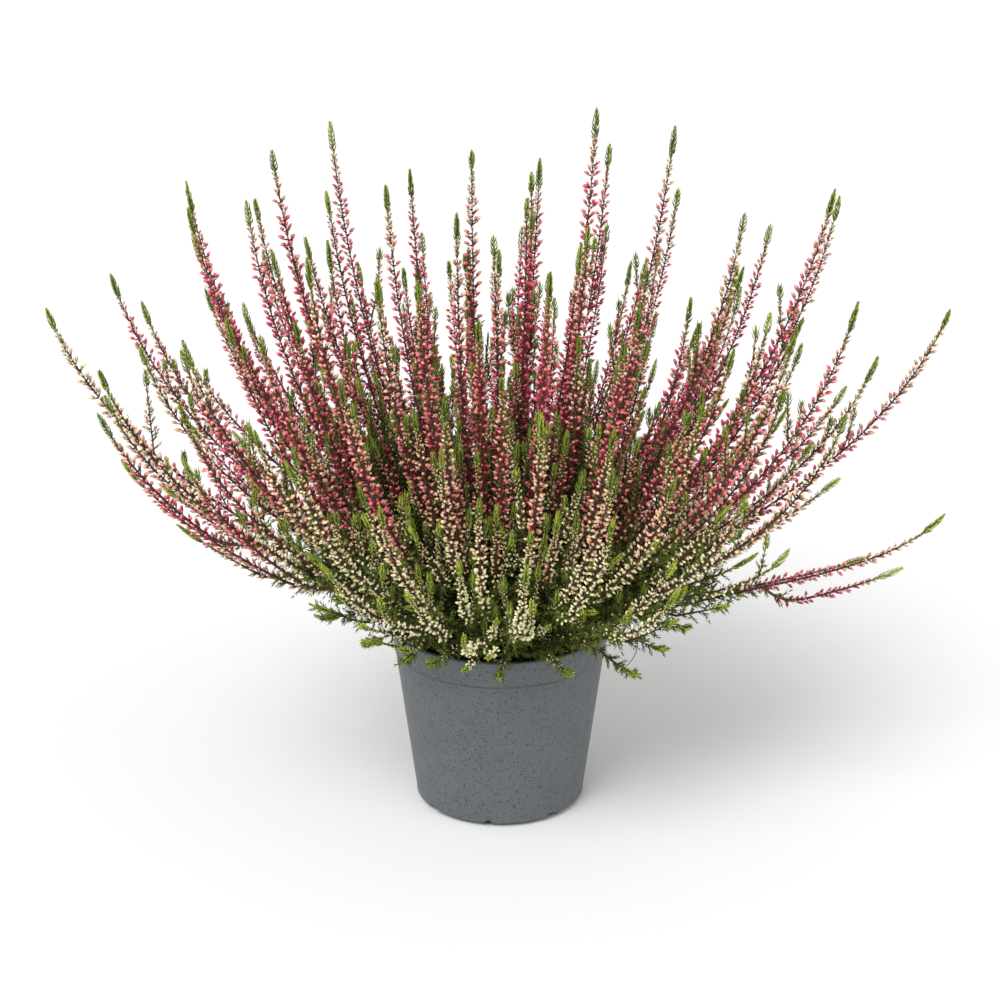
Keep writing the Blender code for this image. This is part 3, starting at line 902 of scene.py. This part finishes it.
def grow_shoots(leaves, twigs, spike, line, dice):
    """Short leafy side shoots on the lower stretch of a spike, in pairs turned against each other."""
    gap, reach, leaf_size = SHOOTS[spike.kind]
    last = line.length * (0.93 if spike.kind == "low" else spike.flowers_from + 0.09)
    leafy_run = line.run[leafy_share(line.points) > 0.4]
    if spike.kind != "sprig" and len(leafy_run):
        last = min(max(last, leafy_run[-1]), line.length * 0.93)
    first = SHOOTS_FROM if spike.kind in ("tall", "short", "low") else 0.002
    where, turns = in_pairs(np.arange(first, last, gap), spike.turn + 0.8, SHOOT_TURN)
    count = len(where)
    where = where + dice.normal(0, SHOOT_SLIP, count)
    turns = turns + dice.normal(0, SHOOT_TWIST, count)
    at, ahead, out, side = around(line, where, turns)
    heading = leaning(ahead, out, SHOOT_LEAN + dice.normal(0, SHOOT_TILT, count))
    up = np.cross(heading, side)
    taper = mixed(1.0, 0.55, rising(where / last, *SHOOT_TAPERS))
    length = reach * taper * dice.uniform(*SHOOT_LENGTHS, count)
    # The leaves of the side shoots are darker towards the plant's middle: painted shade.
    outer = rising(distance_out(at), *SHOOT_PAINTED_SHADE_ENDS_OUT)
    fresh = mixed(0.04, 0.36, outer) + dice.uniform(-0.04, 0.14, count)
    size = np.stack((np.ones(count), np.ones(count), length * 0.92), axis=1)
    twigs.add_copies(STALK, at, side, heading, size, age=0.1, tone=dice.uniform(0, 1, count))
    steps = max(3, round(reach / SHOOT_LEAF_GAP))
    for step in range(steps):
        share = (step + 0.6) / steps
        base = at + heading * (length * share)[:, None]
        for flip in (1, -1):
            turn = step * math.pi / 2 + dice.normal(0, 0.2, count)
            leaf_out = side * (np.cos(turn) * flip)[:, None] + up * (np.sin(turn) * flip)[:, None]
            axis = unit(heading + leaf_out * mixed(0.75, 0.35, share))
            leaf_side = unit(np.cross(heading, leaf_out))
            size = leaf_size * mixed(1.0, 0.72, share) * dice.uniform(*LEAF_SIZES, count)
            tone = dice.uniform(0, 1, count)
            leaves.add_copies(LEAF, base, leaf_side, axis, size, fresh=fresh + 0.25 * share, tone=tone)


def grow_twig(twigs, spike, line):
    """The thin stem of a spike, woody below and dark red above."""
    leafy = spike.kind == "leafy"
    steps = LEAFY_TWIG_STEPS if leafy else max(4, round(line.length / TWIG_STEP))
    where = np.linspace(0, line.length - 0.001, steps)
    at, _, across, other = on_line(line, where)
    share = where / line.length
    radii = mixed(TWIG_FOOT_RADIUS * TWIG_SIZE[spike.kind], TWIG_END_RADIUS, share)
    age = np.clip(1 - 2.2 * share, 0, 1)
    twigs.add_tube(at, across, other, radii, 3 if leafy else 4, age=age, tone=0.5)


def grow_stem(twigs, spray, dice):
    """The woody stem of a spray, from its hole in the peat to past its last fork."""
    top = max(spike.fork for spike in spray.spikes) + STEM_PAST_FORK
    root = stem_point(spray, 0.0)
    places = [root - Vector((0, 0, STEM_DEPTH * (1 - k / 4))) for k in range(4)]
    places += [stem_point(spray, top * k / 12) for k in range(13)]
    line = line_through(places)
    at, _, across, other = on_line(line, line.run)
    share = np.clip((line.run - STEM_DEPTH) / max(line.length - STEM_DEPTH, 1e-6), 0, 1)
    radii = mixed(STEM_RADIUS, STEM_TOP_RADIUS, share) * 0.96 * dice.uniform(0.94, 1.04, len(share))
    twigs.add_tube(at, across, other, radii, 8, age=1.0, tone=0.4)


def grow_spray(number, spray, finishes):
    """One spray: its woody stem and twigs, its leaves and its buds."""
    dice = np.random.default_rng(LOOKS_SEED + number)
    twigs = Growth("age", "tone")
    leaves = Growth("fresh", "tone", "along")
    buds = Growth("ripe", "fresh", "tone", "part", "along")
    grow_stem(twigs, spray, dice)
    for spike in spray.spikes:
        line = line_of(spike)
        grow_twig(twigs, spike, line)
        grow_tip(leaves, spike, line, dice)
        if spike.kind != "leafy":
            grow_shoots(leaves, twigs, spike, line, dice)
            grow_buds(buds, spike, line, dice)
    node = f"spray_{number:02d}"
    slot = spray_finish(spray)
    add_piece(f"{node}_twigs", twigs.mesh("twigs"), finishes.twig, slot, node)
    add_piece(f"{node}_leaves", leaves.mesh("leaves"), finishes.leaf, slot, node)
    add_piece(f"{node}_buds", buds.mesh("buds"), finishes.bud, slot, node)


def turned(name, profile, segments):
    """A mesh turned about Z from a profile that starts and ends on the axis."""
    points = [(0, 0, profile[0][1])]
    for radius, height in profile[1:-1]:
        for k in range(segments):
            turn = 2 * math.pi * k / segments
            points.append((radius * math.cos(turn), radius * math.sin(turn), height))
    points.append((0, 0, profile[-1][1]))
    rings = len(profile) - 2
    faces = []
    for k in range(segments):
        after = (k + 1) % segments
        faces.append((0, 1 + after, 1 + k))
        for ring in range(rings - 1):
            low = 1 + ring * segments
            high = low + segments
            faces.append((low + k, low + after, high + after, high + k))
        top = 1 + (rings - 1) * segments
        faces.append((top + k, top + after, len(points) - 1))
    mesh = bpy.data.meshes.new(name)
    mesh.from_pydata(points, [], faces)
    mesh.update()
    return mesh


def arc(middle, radius, start, end, steps):
    """Points of a profile on an arc, its angles in degrees."""
    for k in range(steps + 1):
        turn = math.radians(mixed(start, end, k / steps))
        yield middle[0] + radius * math.cos(turn), middle[1] + radius * math.sin(turn)


def straight(start, end, steps):
    """Points of a profile on a straight line."""
    for k in range(steps + 1):
        yield mixed(start[0], end[0], k / steps), mixed(start[1], end[1], k / steps)


def body_radius(height):
    """The outer radius of the pot's tapering body."""
    share = (height - HEEL_HEIGHT) / (BAND_HEIGHT - HEEL_HEIGHT)
    return HEEL_RADIUS + (BODY_TOP_RADIUS - HEEL_RADIUS) * share


def arch(width, height):
    """The outline of a drain notch: a low arch, or an upright slot with a round top."""
    half = width / 2
    if half > height:
        radius = (half * half + height * height) / (2 * height)
        middle = height - radius
        spread = math.asin(half / radius)
        turns = [mixed(-spread, spread, k / 12) for k in range(13)]
        points = [(radius * math.sin(turn), middle + radius * math.cos(turn)) for turn in turns]
    else:
        turns = [mixed(-math.pi / 2, math.pi / 2, k / 10) for k in range(11)]
        points = [(half * math.sin(turn), height - half + half * math.cos(turn)) for turn in turns]
    return [(-half, -NOTCH_HEIGHT / 4), *points, (half, -NOTCH_HEIGHT / 4)]


def notch_cutter(k):
    """A block of the notch's outline that reaches through the pot's bottom edge."""
    outline = arch(NARROW_NOTCH if k % 2 else WIDE_NOTCH, NOTCH_HEIGHT)
    place = Matrix.Rotation(NOTCH_TURN + 2 * math.pi * k / NOTCHES, 4, "Z")
    shape = bmesh.new()
    for reach in (HEEL_RADIUS - NOTCH_DEPTH, HEEL_RADIUS + NOTCH_DEPTH):
        for across, up in outline:
            shape.verts.new(place @ Vector((reach, across, up)))
    shape.verts.ensure_lookup_table()
    count = len(outline)
    shape.faces.new(shape.verts[:count])
    shape.faces.new(shape.verts[count:])
    for j in range(count):
        after = (j + 1) % count
        shape.faces.new([shape.verts[i] for i in (j, count + j, count + after, after)])
    bmesh.ops.recalc_face_normals(shape, faces=shape.faces)
    return bpy.data.objects.new("notch", mesh_of(shape, "notch"))


def pot_profile():
    """The pot's outline, from the middle of its underside up the outside and down the inside."""
    band = BODY_TOP_RADIUS + BAND_STEP
    neck = RIM_RADIUS - 0.0008
    lip = RIM_RADIUS - LIP_ROUND
    low = 0.007
    high = BAND_HEIGHT - 0.001
    profile = [(0.0, 0.0), (FOOT_RADIUS * 0.55, FOOT_HOLLOW)]
    profile += [(FOOT_RADIUS * 0.8, FOOT_HOLLOW), (FOOT_RADIUS * 0.84, 0.0)]
    profile += arc((FOOT_RADIUS - 0.0002, HEEL_ROUND), HEEL_ROUND, -90, -30, 4)
    profile += arc((HEEL_RADIUS - HEEL_ROUND, 0.0034), HEEL_ROUND, -30, 0, 4)
    profile += [(HEEL_RADIUS, HEEL_HEIGHT), (body_radius(0.0062), 0.0062)]
    profile += straight((body_radius(low), low), (body_radius(high), high), 12)
    profile += [(BODY_TOP_RADIUS - 0.0001, BAND_HEIGHT - 0.0003), (BODY_TOP_RADIUS + 0.0002, BAND_HEIGHT)]
    profile += arc((band - 0.0003, BAND_HEIGHT + 0.0006), 0.0003, -40, 0, 3)
    profile += straight((band, BAND_HEIGHT + 0.0012), (neck, POT_HEIGHT - RIM_LIP - 0.0006), 4)
    profile += arc((lip, POT_HEIGHT - RIM_LIP + 0.0004), LIP_ROUND, -40, 0, 4)
    profile += arc((lip, POT_HEIGHT - LIP_ROUND), LIP_ROUND, 0, 90, 6)
    profile += arc((RIM_RADIUS - WALL - EDGE_ROUND, POT_HEIGHT - EDGE_ROUND), EDGE_ROUND, 90, 180, 4)
    profile += [(band - WALL, BAND_HEIGHT + BAND_STEP), (BODY_TOP_RADIUS - WALL, BAND_HEIGHT)]
    profile += [(body_radius(height) - WALL, height) for height in (0.06, 0.035, 0.015)]
    return profile + [(HEEL_RADIUS - WALL, HEEL_HEIGHT), (FOOT_RADIUS - WALL, FLOOR), (0.0, FLOOR)]


def make_pot(material):
    """The pot: a thin turned shell with a rolled rim, a moulded band and arched drain notches."""
    pot = bpy.data.objects.new("pot_shell", turned("pot_shell", pot_profile(), POT_SEGMENTS))
    bpy.context.scene.collection.objects.link(pot)
    group = bpy.data.collections.new("notches")
    bpy.context.scene.collection.children.link(group)
    for k in range(NOTCHES):
        group.objects.link(notch_cutter(k))
    cut = pot.modifiers.new("notches", "BOOLEAN")
    cut.operation = "DIFFERENCE"
    cut.operand_type = "COLLECTION"
    cut.collection = group
    cut.solver = "EXACT"
    bpy.context.view_layer.update()
    seen = pot.evaluated_get(bpy.context.evaluated_depsgraph_get())
    mesh = bpy.data.meshes.new_from_object(seen)
    mesh.shade_smooth()
    mesh.set_sharp_from_angle(angle=math.radians(40))
    for used in [*group.objects, pot]:
        bpy.data.objects.remove(used, do_unlink=True)
    bpy.data.collections.remove(group)
    mesh.name = "pot_shell"
    add_piece("pot_shell", mesh, material, "pot_plastic", "pot")


def peat_height(x, y):
    """The lumpy top of the peat."""
    coarse = noise.fractal(Vector((x, y, 0)) * 90, 0.9, 2.1, 4)
    lumps = noise.noise(Vector((x, y, 5)) * 320)
    return PEAT_TOP - 0.0012 + PEAT_RELIEF * (0.8 * coarse + 0.35 * lumps)


def make_peat(material):
    """The peat: a plug with a lumpy top, sunk a little at the wall, and loose crumbs on it."""
    inside = WALL + 1.5 * CLEARANCE
    outer = body_radius(PEAT_TOP) - inside - CLEARANCE
    low = 0.02
    high = PEAT_TOP - 0.004
    profile = [(0.0, FLOOR + CLEARANCE), (FOOT_RADIUS - inside - CLEARANCE, FLOOR + CLEARANCE)]
    profile += [(HEEL_RADIUS - inside, HEEL_HEIGHT + CLEARANCE)]
    profile += straight((body_radius(low) - inside, low), (body_radius(high) - inside, high), 3)
    profile += [(outer * (1 - k / PEAT_RINGS), PEAT_TOP) for k in range(PEAT_RINGS + 1)]
    mesh = turned("peat_surface", profile, PEAT_SEGMENTS)
    for point in mesh.vertices:
        if point.co.z >= PEAT_TOP - 0.0001:
            edge = rising(math.hypot(point.co.x, point.co.y) / outer, *PEAT_SINKS_FROM)
            point.co.z = peat_height(point.co.x, point.co.y) - PEAT_SINKS * edge
    mesh.shade_smooth()
    mesh.update()
    add_piece("peat_surface", mesh, material, "peat", "peat")
    make_crumbs(material, outer)


def make_fibre(material):
    """One dry root fibre that hangs out over the rim."""
    fibre = Growth("age", "tone")
    ends = [Vector(point) for point in FIBRE]
    line = line_through([bezier(ends, k / LINE_STEPS) for k in range(LINE_STEPS + 1)])
    at, _, across, other = on_line(line, np.linspace(0, line.length, FIBRE_STEPS))
    radii = np.linspace(0.00034, 0.00016, FIBRE_STEPS)
    fibre.add_tube(at, across, other, radii, 5, age=0.6, tone=0.3)
    add_piece("peat_fibre", fibre.mesh("peat_fibre"), material, "peat", "peat")


def make_crumbs(material, outer):
    """Loose crumbs and bits of bark on the peat."""
    dice = random.Random(LOOKS_SEED)
    shape = bmesh.new()
    for _ in range(CRUMBS):
        reach = outer * math.sqrt(dice.random()) * 0.97
        turn = dice.uniform(0, 2 * math.pi)
        x, y = reach * math.cos(turn), reach * math.sin(turn)
        size = 0.0006 + 0.0016 * dice.random() ** 2
        place = Matrix.Translation((x, y, peat_height(x, y) + size * 0.2))
        spin = Matrix.Rotation(dice.uniform(0, 6), 4, "Z")
        spin = spin @ Matrix.Rotation(dice.uniform(-0.6, 0.6), 4, "X")
        stretch = Matrix.Diagonal((size * dice.uniform(0.9, 2.0), size, size * dice.uniform(0.5, 0.9), 1))
        made = bmesh.ops.create_icosphere(shape, subdivisions=1, radius=1, matrix=place @ spin @ stretch)
        for point in made["verts"]:
            point.co += Vector([dice.uniform(-0.3, 0.3) * size for _ in range(3)])
    add_piece("peat_crumbs", mesh_of(shape, "peat_crumbs"), material, "peat", "peat")


class Nodes:
    """Places and joins the nodes of a material or a group."""

    def __init__(self, tree):
        self.tree = tree

    def add(self, kind, settings=None, **inputs):
        """A node with its settings, and inputs given as values or as other nodes' outputs."""
        node = self.tree.nodes.new(kind)
        for name, value in (settings or {}).items():
            setattr(node, name, value)
        for name, value in inputs.items():
            self.set(node, name.replace("_", " "), value)
        return node

    def set(self, node, name, value):
        """Sets an input by its name or number, or links an output to it."""
        socket = node.inputs[int(name) if name.isdigit() else name]
        if isinstance(value, bpy.types.NodeSocket):
            self.tree.links.new(value, socket)
        else:
            socket.default_value = value

    def maths(self, operation, *values):
        """A sum of one, two or three values."""
        node = self.tree.nodes.new("ShaderNodeMath")
        node.operation = operation
        for k, value in enumerate(values):
            self.set(node, str(k), value)
        return node.outputs[0]

    def sloped(self, value, slope, start):
        """A value times a slope, plus a start."""
        return self.maths("MULTIPLY_ADD", value, slope, start)

    def by_tone(self, slope, start):
        """A value that differs from one bud, leaf or twig to the next."""
        return self.sloped(self.shade("tone"), slope, start)

    def held(self, value, low=0.0, high=1.0):
        """A value held between two others."""
        return self.maths("MINIMUM", self.maths("MAXIMUM", value, low), high)

    def ramp(self, value, stops):
        """A colour ramp of (place, colour) stops."""
        node = self.tree.nodes.new("ShaderNodeValToRGB")
        marks = node.color_ramp.elements
        for k, (place, paint) in enumerate(stops):
            mark = marks[k] if k < 2 else marks.new(place)
            mark.position = place
            mark.color = colour(paint)
        self.tree.links.new(value, node.inputs["Fac"])
        return node.outputs["Color"]

    def mix(self, share, first, second, blend="MIX"):
        """Two colours mixed by a share."""
        node = self.tree.nodes.new("ShaderNodeMix")
        node.data_type = "RGBA"
        node.blend_type = blend
        self.set(node, "0", share)
        self.set(node, "6", first)
        self.set(node, "7", second)
        return node.outputs[2]

    def over(self, paint, mask, share, above):
        """A colour with another above it where a mask is, as strong as a share."""
        return self.mix(self.maths("MULTIPLY", mask, share), paint, colour(above))

    def times(self, paint, value):
        """A colour made lighter or darker by a value."""
        grey = self.add("ShaderNodeCombineColor", Red=value, Green=value, Blue=value)
        return self.mix(1.0, paint, grey.outputs["Color"], "MULTIPLY")

    def effect(self, tree, **inputs):
        """A shared node group placed in a material with its own values."""
        return self.add("ShaderNodeGroup", {"node_tree": tree}, **inputs).outputs[0]

    def bump(self, shader, height, depth, strength=1.0):
        """Relief of a real depth on a material's surface."""
        node = self.add("ShaderNodeBump", Height=height, Distance=depth, Strength=strength)
        self.set(shader, "Normal", node.outputs["Normal"])

    def shade(self, name):
        """A shade that the mesh holds at its points."""
        node = self.tree.nodes.new("ShaderNodeAttribute")
        node.attribute_name = name
        return node.outputs["Fac"]

    def place(self):
        """Places on the plant, in metres."""
        return self.tree.nodes.new("ShaderNodeTexCoord").outputs["Object"]


def new_group(name, inputs, output):
    """An empty node group that takes a place and named values, and gives one value."""
    tree = bpy.data.node_groups.new(name, "ShaderNodeTree")
    tree.interface.new_socket("Place", in_out="INPUT", socket_type="NodeSocketVector")
    for label, value in inputs.items():
        socket = tree.interface.new_socket(label, in_out="INPUT", socket_type="NodeSocketFloat")
        socket.default_value = value
    tree.interface.new_socket(output, in_out="OUTPUT", socket_type="NodeSocketFloat")
    given = tree.nodes.new("NodeGroupInput").outputs
    return tree, Nodes(tree), given, tree.nodes.new("NodeGroupOutput")


def mottle_group():
    """Soft uneven patches: a value around 1 that lightens and darkens a colour."""
    tree, nodes, given, made = new_group("uneven patches", {"Size": 0.005, "Strength": 0.2}, "Value")
    scale = nodes.maths("DIVIDE", 1.0, given["Size"])
    place = given["Place"]
    patches = nodes.add("ShaderNodeTexNoise", Vector=place, Scale=scale, Detail=4.0, Roughness=0.6)
    swing = nodes.sloped(patches.outputs["Fac"], 2.0, -1.0)
    nodes.set(made, "Value", nodes.sloped(swing, given["Strength"], 1.0))
    return tree


def specks_group():
    """Round specks of uneven size: 1 on a speck and 0 between."""
    tree, nodes, given, made = new_group("specks", {"Gap": 0.002, "Size": 0.2, "Share": 0.5}, "Mask")
    scale = nodes.maths("DIVIDE", 1.0, given["Gap"])
    cells = nodes.add("ShaderNodeTexVoronoi", Vector=given["Place"], Scale=scale)
    luck = nodes.add("ShaderNodeSeparateColor", Color=cells.outputs["Color"])
    reach = nodes.maths("MULTIPLY", luck.outputs[1], given["Size"])
    near = nodes.maths("SUBTRACT", reach, cells.outputs["Distance"])
    inside = nodes.held(nodes.maths("MULTIPLY", near, 12.0))
    chosen = nodes.maths("LESS_THAN", luck.outputs[0], given["Share"])
    nodes.set(made, "Mask", nodes.maths("MULTIPLY", inside, chosen))
    return tree


def new_finish(name):
    """A material with its nodes, and its main shader."""
    made = bpy.data.materials.new(name)
    made.use_nodes = True
    shader = made.node_tree.nodes["Principled BSDF"]
    return made, Nodes(made.node_tree), shader


def bud_finish(mottle):
    """Closed buds, from cream over salmon to crimson, greener while young, darker at the foot and paler
    at the tip, where the paleness is partly the bud's own and partly a painted highlight.
    """
    made, nodes, shader = new_finish("heather bud")
    ripe = nodes.ramp(nodes.shade("ripe"), [
        (0.0, "F2EAB4"),
        (0.22, "F5D3A4"),
        (0.42, "F09A88"),
        (0.58, "E84E70"),
        (0.76, "DA1E56"),
        (1.0, "B01246"),
    ])
    young = nodes.mix(nodes.shade("ripe"), colour("A3A83C"), colour("AE6A3C"))
    petal = nodes.mix(nodes.shade("fresh"), ripe, young)
    high = nodes.held(nodes.sloped(nodes.shade("ripe"), 2.4, -0.5))
    bract = nodes.mix(high, colour("1A2810"), colour("5A241C"))
    foot = nodes.mix(0.75, petal, bract)
    # The tips are paler, partly in the buds' own colour and partly as a painted highlight, less so on
    # ripe buds.
    tip_and_highlight_share = nodes.by_tone(0.34, 0.26)
    tip_and_highlight_share = nodes.maths("SUBTRACT", tip_and_highlight_share, nodes.maths("MULTIPLY", high, 0.14))
    pale_tip_and_highlight = nodes.mix(tip_and_highlight_share, petal, nodes.mix(high, colour("FFFAD8"), colour("FFE6DC")))
    along = nodes.shade("along")
    lower = nodes.mix(nodes.held(nodes.sloped(along, 2.4, -0.30)), foot, petal)
    upper = nodes.maths("MAXIMUM", nodes.sloped(along, 2.0, -1.0), 0.0)
    body = nodes.mix(upper, lower, pale_tip_and_highlight)
    bract = nodes.mix(nodes.shade("fresh"), bract, colour("5E7028"))
    paint = nodes.mix(nodes.shade("part"), bract, body)
    patches = nodes.effect(mottle, Place=nodes.place(), Size=0.0016, Strength=0.22)
    tone = nodes.by_tone(0.36, 0.84)
    paint = nodes.times(paint, nodes.maths("MULTIPLY", tone, patches))
    nodes.set(shader, "Base Color", paint)
    nodes.set(shader, "Roughness", nodes.by_tone(0.2, 0.38))
    nodes.bump(shader, patches, 0.00008, 0.6)
    return made


def leaf_finish(mottle):
    """Scale leaves, from near black-green, where painted shade darkens them inside the plant, to bright
    yellow-green at the growing tips.
    """
    made, nodes, shader = new_finish("heather leaf")
    paint = nodes.ramp(nodes.shade("fresh"), [
        (0.0, "091206"),
        (0.30, "1B3611"),
        (0.60, "52701D"),
        (0.82, "7F952B"),
        (1.0, "AEBB3A"),
    ])
    lifted = nodes.over(paint, nodes.shade("along"), 0.30, "C3C95A")
    patches = nodes.effect(mottle, Place=nodes.place(), Size=0.0022, Strength=0.25)
    tone = nodes.by_tone(0.5, 0.75)
    nodes.set(shader, "Base Color", nodes.times(lifted, nodes.maths("MULTIPLY", tone, patches)))
    nodes.set(shader, "Roughness", nodes.by_tone(0.2, 0.55))
    shader.inputs["Specular IOR Level"].default_value = 0.25
    nodes.bump(shader, patches, 0.00010, 0.6)
    return made


def twig_finish(mottle):
    """Thin dark red twigs that turn to brown bark below."""
    made, nodes, shader = new_finish("heather twig")
    paint = nodes.ramp(nodes.shade("age"), [
        (0.0, "561F17"),
        (0.45, "3F2115"),
        (1.0, "6B5138"),
    ])
    rough_bark = nodes.effect(mottle, Place=nodes.place(), Size=0.0014, Strength=0.55)
    tone = nodes.by_tone(0.4, 0.8)
    nodes.set(shader, "Base Color", nodes.times(paint, nodes.maths("MULTIPLY", tone, rough_bark)))
    nodes.set(shader, "Roughness", nodes.sloped(rough_bark, 0.15, 0.55))
    nodes.bump(shader, rough_bark, 0.00025)
    return made


def pot_finish(mottle, specks):
    """Matte blue-grey plastic, finely speckled, with soft scuffs, a few clinging specks of peat and a
    line of painted shade along the band's step.
    """
    made, nodes, shader = new_finish("speckled grey plastic")
    place = nodes.place()
    soft = nodes.effect(mottle, Place=place, Size=0.018, Strength=0.16)
    fine = nodes.effect(specks, Place=place, Gap=0.00085, Size=0.54, Share=0.66)
    pale = nodes.effect(specks, Place=place, Gap=0.00095, Size=0.46, Share=0.26)
    high = nodes.add("ShaderNodeSeparateXYZ", Vector=place).outputs["Z"]
    near_rim = nodes.held(nodes.sloped(high, 22.0, -1.55), 0.12, 0.6)
    dirt = nodes.effect(specks, Place=place, Gap=0.0062, Size=0.16, Share=near_rim)
    paint = nodes.times(colour("595F62"), soft)
    paint = nodes.over(paint, fine, 0.86, "1F2224")
    paint = nodes.over(paint, pale, 0.30, "868C90")
    # A thin dark line at the height of the band's step is painted shade under the step.
    from_band = nodes.maths("ABSOLUTE", nodes.maths("SUBTRACT", high, BAND_HEIGHT))
    corner = nodes.maths("MAXIMUM", nodes.sloped(from_band, -1000.0, 1.0), 0.0)
    paint = nodes.over(paint, corner, 0.55, "23272A")
    paint = nodes.over(paint, dirt, 0.9, "1A120C")
    nodes.set(shader, "Base Color", paint)
    worn = nodes.effect(mottle, Place=place, Size=0.004, Strength=0.25)
    nodes.set(shader, "Roughness", nodes.maths("MULTIPLY", worn, 0.5))
    grain = nodes.effect(mottle, Place=place, Size=0.0011, Strength=0.5)
    nodes.bump(shader, nodes.maths("ADD", grain, dirt), 0.00010, 0.7)
    return made


def peat_finish(mottle, specks):
    """Dark peat with pale fibres."""
    made, nodes, shader = new_finish("peat")
    place = nodes.place()
    lumps = nodes.effect(mottle, Place=place, Size=0.0035, Strength=0.7)
    bits = nodes.effect(specks, Place=place, Gap=0.0022, Size=0.32, Share=0.22)
    paint = nodes.times(colour("35271C"), lumps)
    paint = nodes.over(paint, bits, 0.6, "7A6347")
    nodes.set(shader, "Base Color", paint)
    nodes.set(shader, "Roughness", nodes.sloped(lumps, 0.1, 0.82))
    nodes.bump(shader, lumps, 0.0008)
    return made


def make_finishes():
    """Every finish of the plant and its pot."""
    mottle = mottle_group()
    specks = specks_group()
    return SimpleNamespace(
        bud=bud_finish(mottle),
        leaf=leaf_finish(mottle),
        twig=twig_finish(mottle),
        pot=pot_finish(mottle, specks),
        peat=peat_finish(mottle, specks),
    )


def make_camera():
    """The camera, level from side to side and looking down on the front."""
    data = bpy.data.cameras.new("camera")
    data.lens = LENS
    camera = bpy.data.objects.new("camera", data)
    bpy.context.scene.collection.objects.link(camera)
    camera.location = AIM + Vector((0, -math.cos(ELEVATION), math.sin(ELEVATION))) * DISTANCE
    camera.rotation_euler = (math.pi / 2 - ELEVATION, 0, 0)
    bpy.context.scene.camera = camera


def make_sun(name, place, width, strength):
    """A wide soft light from one side, the same everywhere."""
    data = bpy.data.lights.new(name, "SUN")
    data.angle = math.radians(width)
    data.energy = strength
    lamp = bpy.data.objects.new(name, data)
    bpy.context.scene.collection.objects.link(lamp)
    lamp.location = place
    lamp.rotation_euler = (AIM - Vector(place)).to_track_quat("-Z", "Y").to_euler()


def make_studio():
    """A pale floor, white surroundings and soft lamps."""
    shape = bmesh.new()
    bmesh.ops.create_grid(shape, x_segments=1, y_segments=1, size=FLOOR_REACH)
    mesh = mesh_of(shape, "floor")
    pale, _, shader = new_finish("pale floor")
    shader.inputs["Base Color"].default_value = (0.92, 0.92, 0.92, 1)
    shader.inputs["Roughness"].default_value = 0.9
    mesh.materials.append(pale)
    floor = bpy.data.objects.new("floor", mesh)
    bpy.context.scene.collection.objects.link(floor)
    world = bpy.data.worlds.new("surroundings")
    world.use_nodes = True
    sky = world.node_tree.nodes["Background"]
    sky.inputs["Color"].default_value = (1, 1, 1, 1)
    sky_nodes = Nodes(world.node_tree)
    seen = sky_nodes.add("ShaderNodeLightPath").outputs["Is Camera Ray"]
    sky_nodes.set(sky, "Strength", sky_nodes.sloped(seen, 1.0 - AMBIENT, AMBIENT))
    bpy.context.scene.world = world
    for sun in SUNS:
        make_sun(*sun)
    bpy.context.scene.view_settings.view_transform = "Standard"


finishes = make_finishes()
make_studio()
make_camera()
make_pot(finishes.pot)
make_peat(finishes.peat)
make_fibre(finishes.twig)
sprays = lay_out()
add_more_side_spikes(sprays)
add_sprigs(sprays)
add_leafy_shoots(sprays)
add_upper_sprigs(sprays)
for spray_number, each_spray in enumerate(sprays, start=1):
    grow_spray(spray_number, each_spray, finishes)
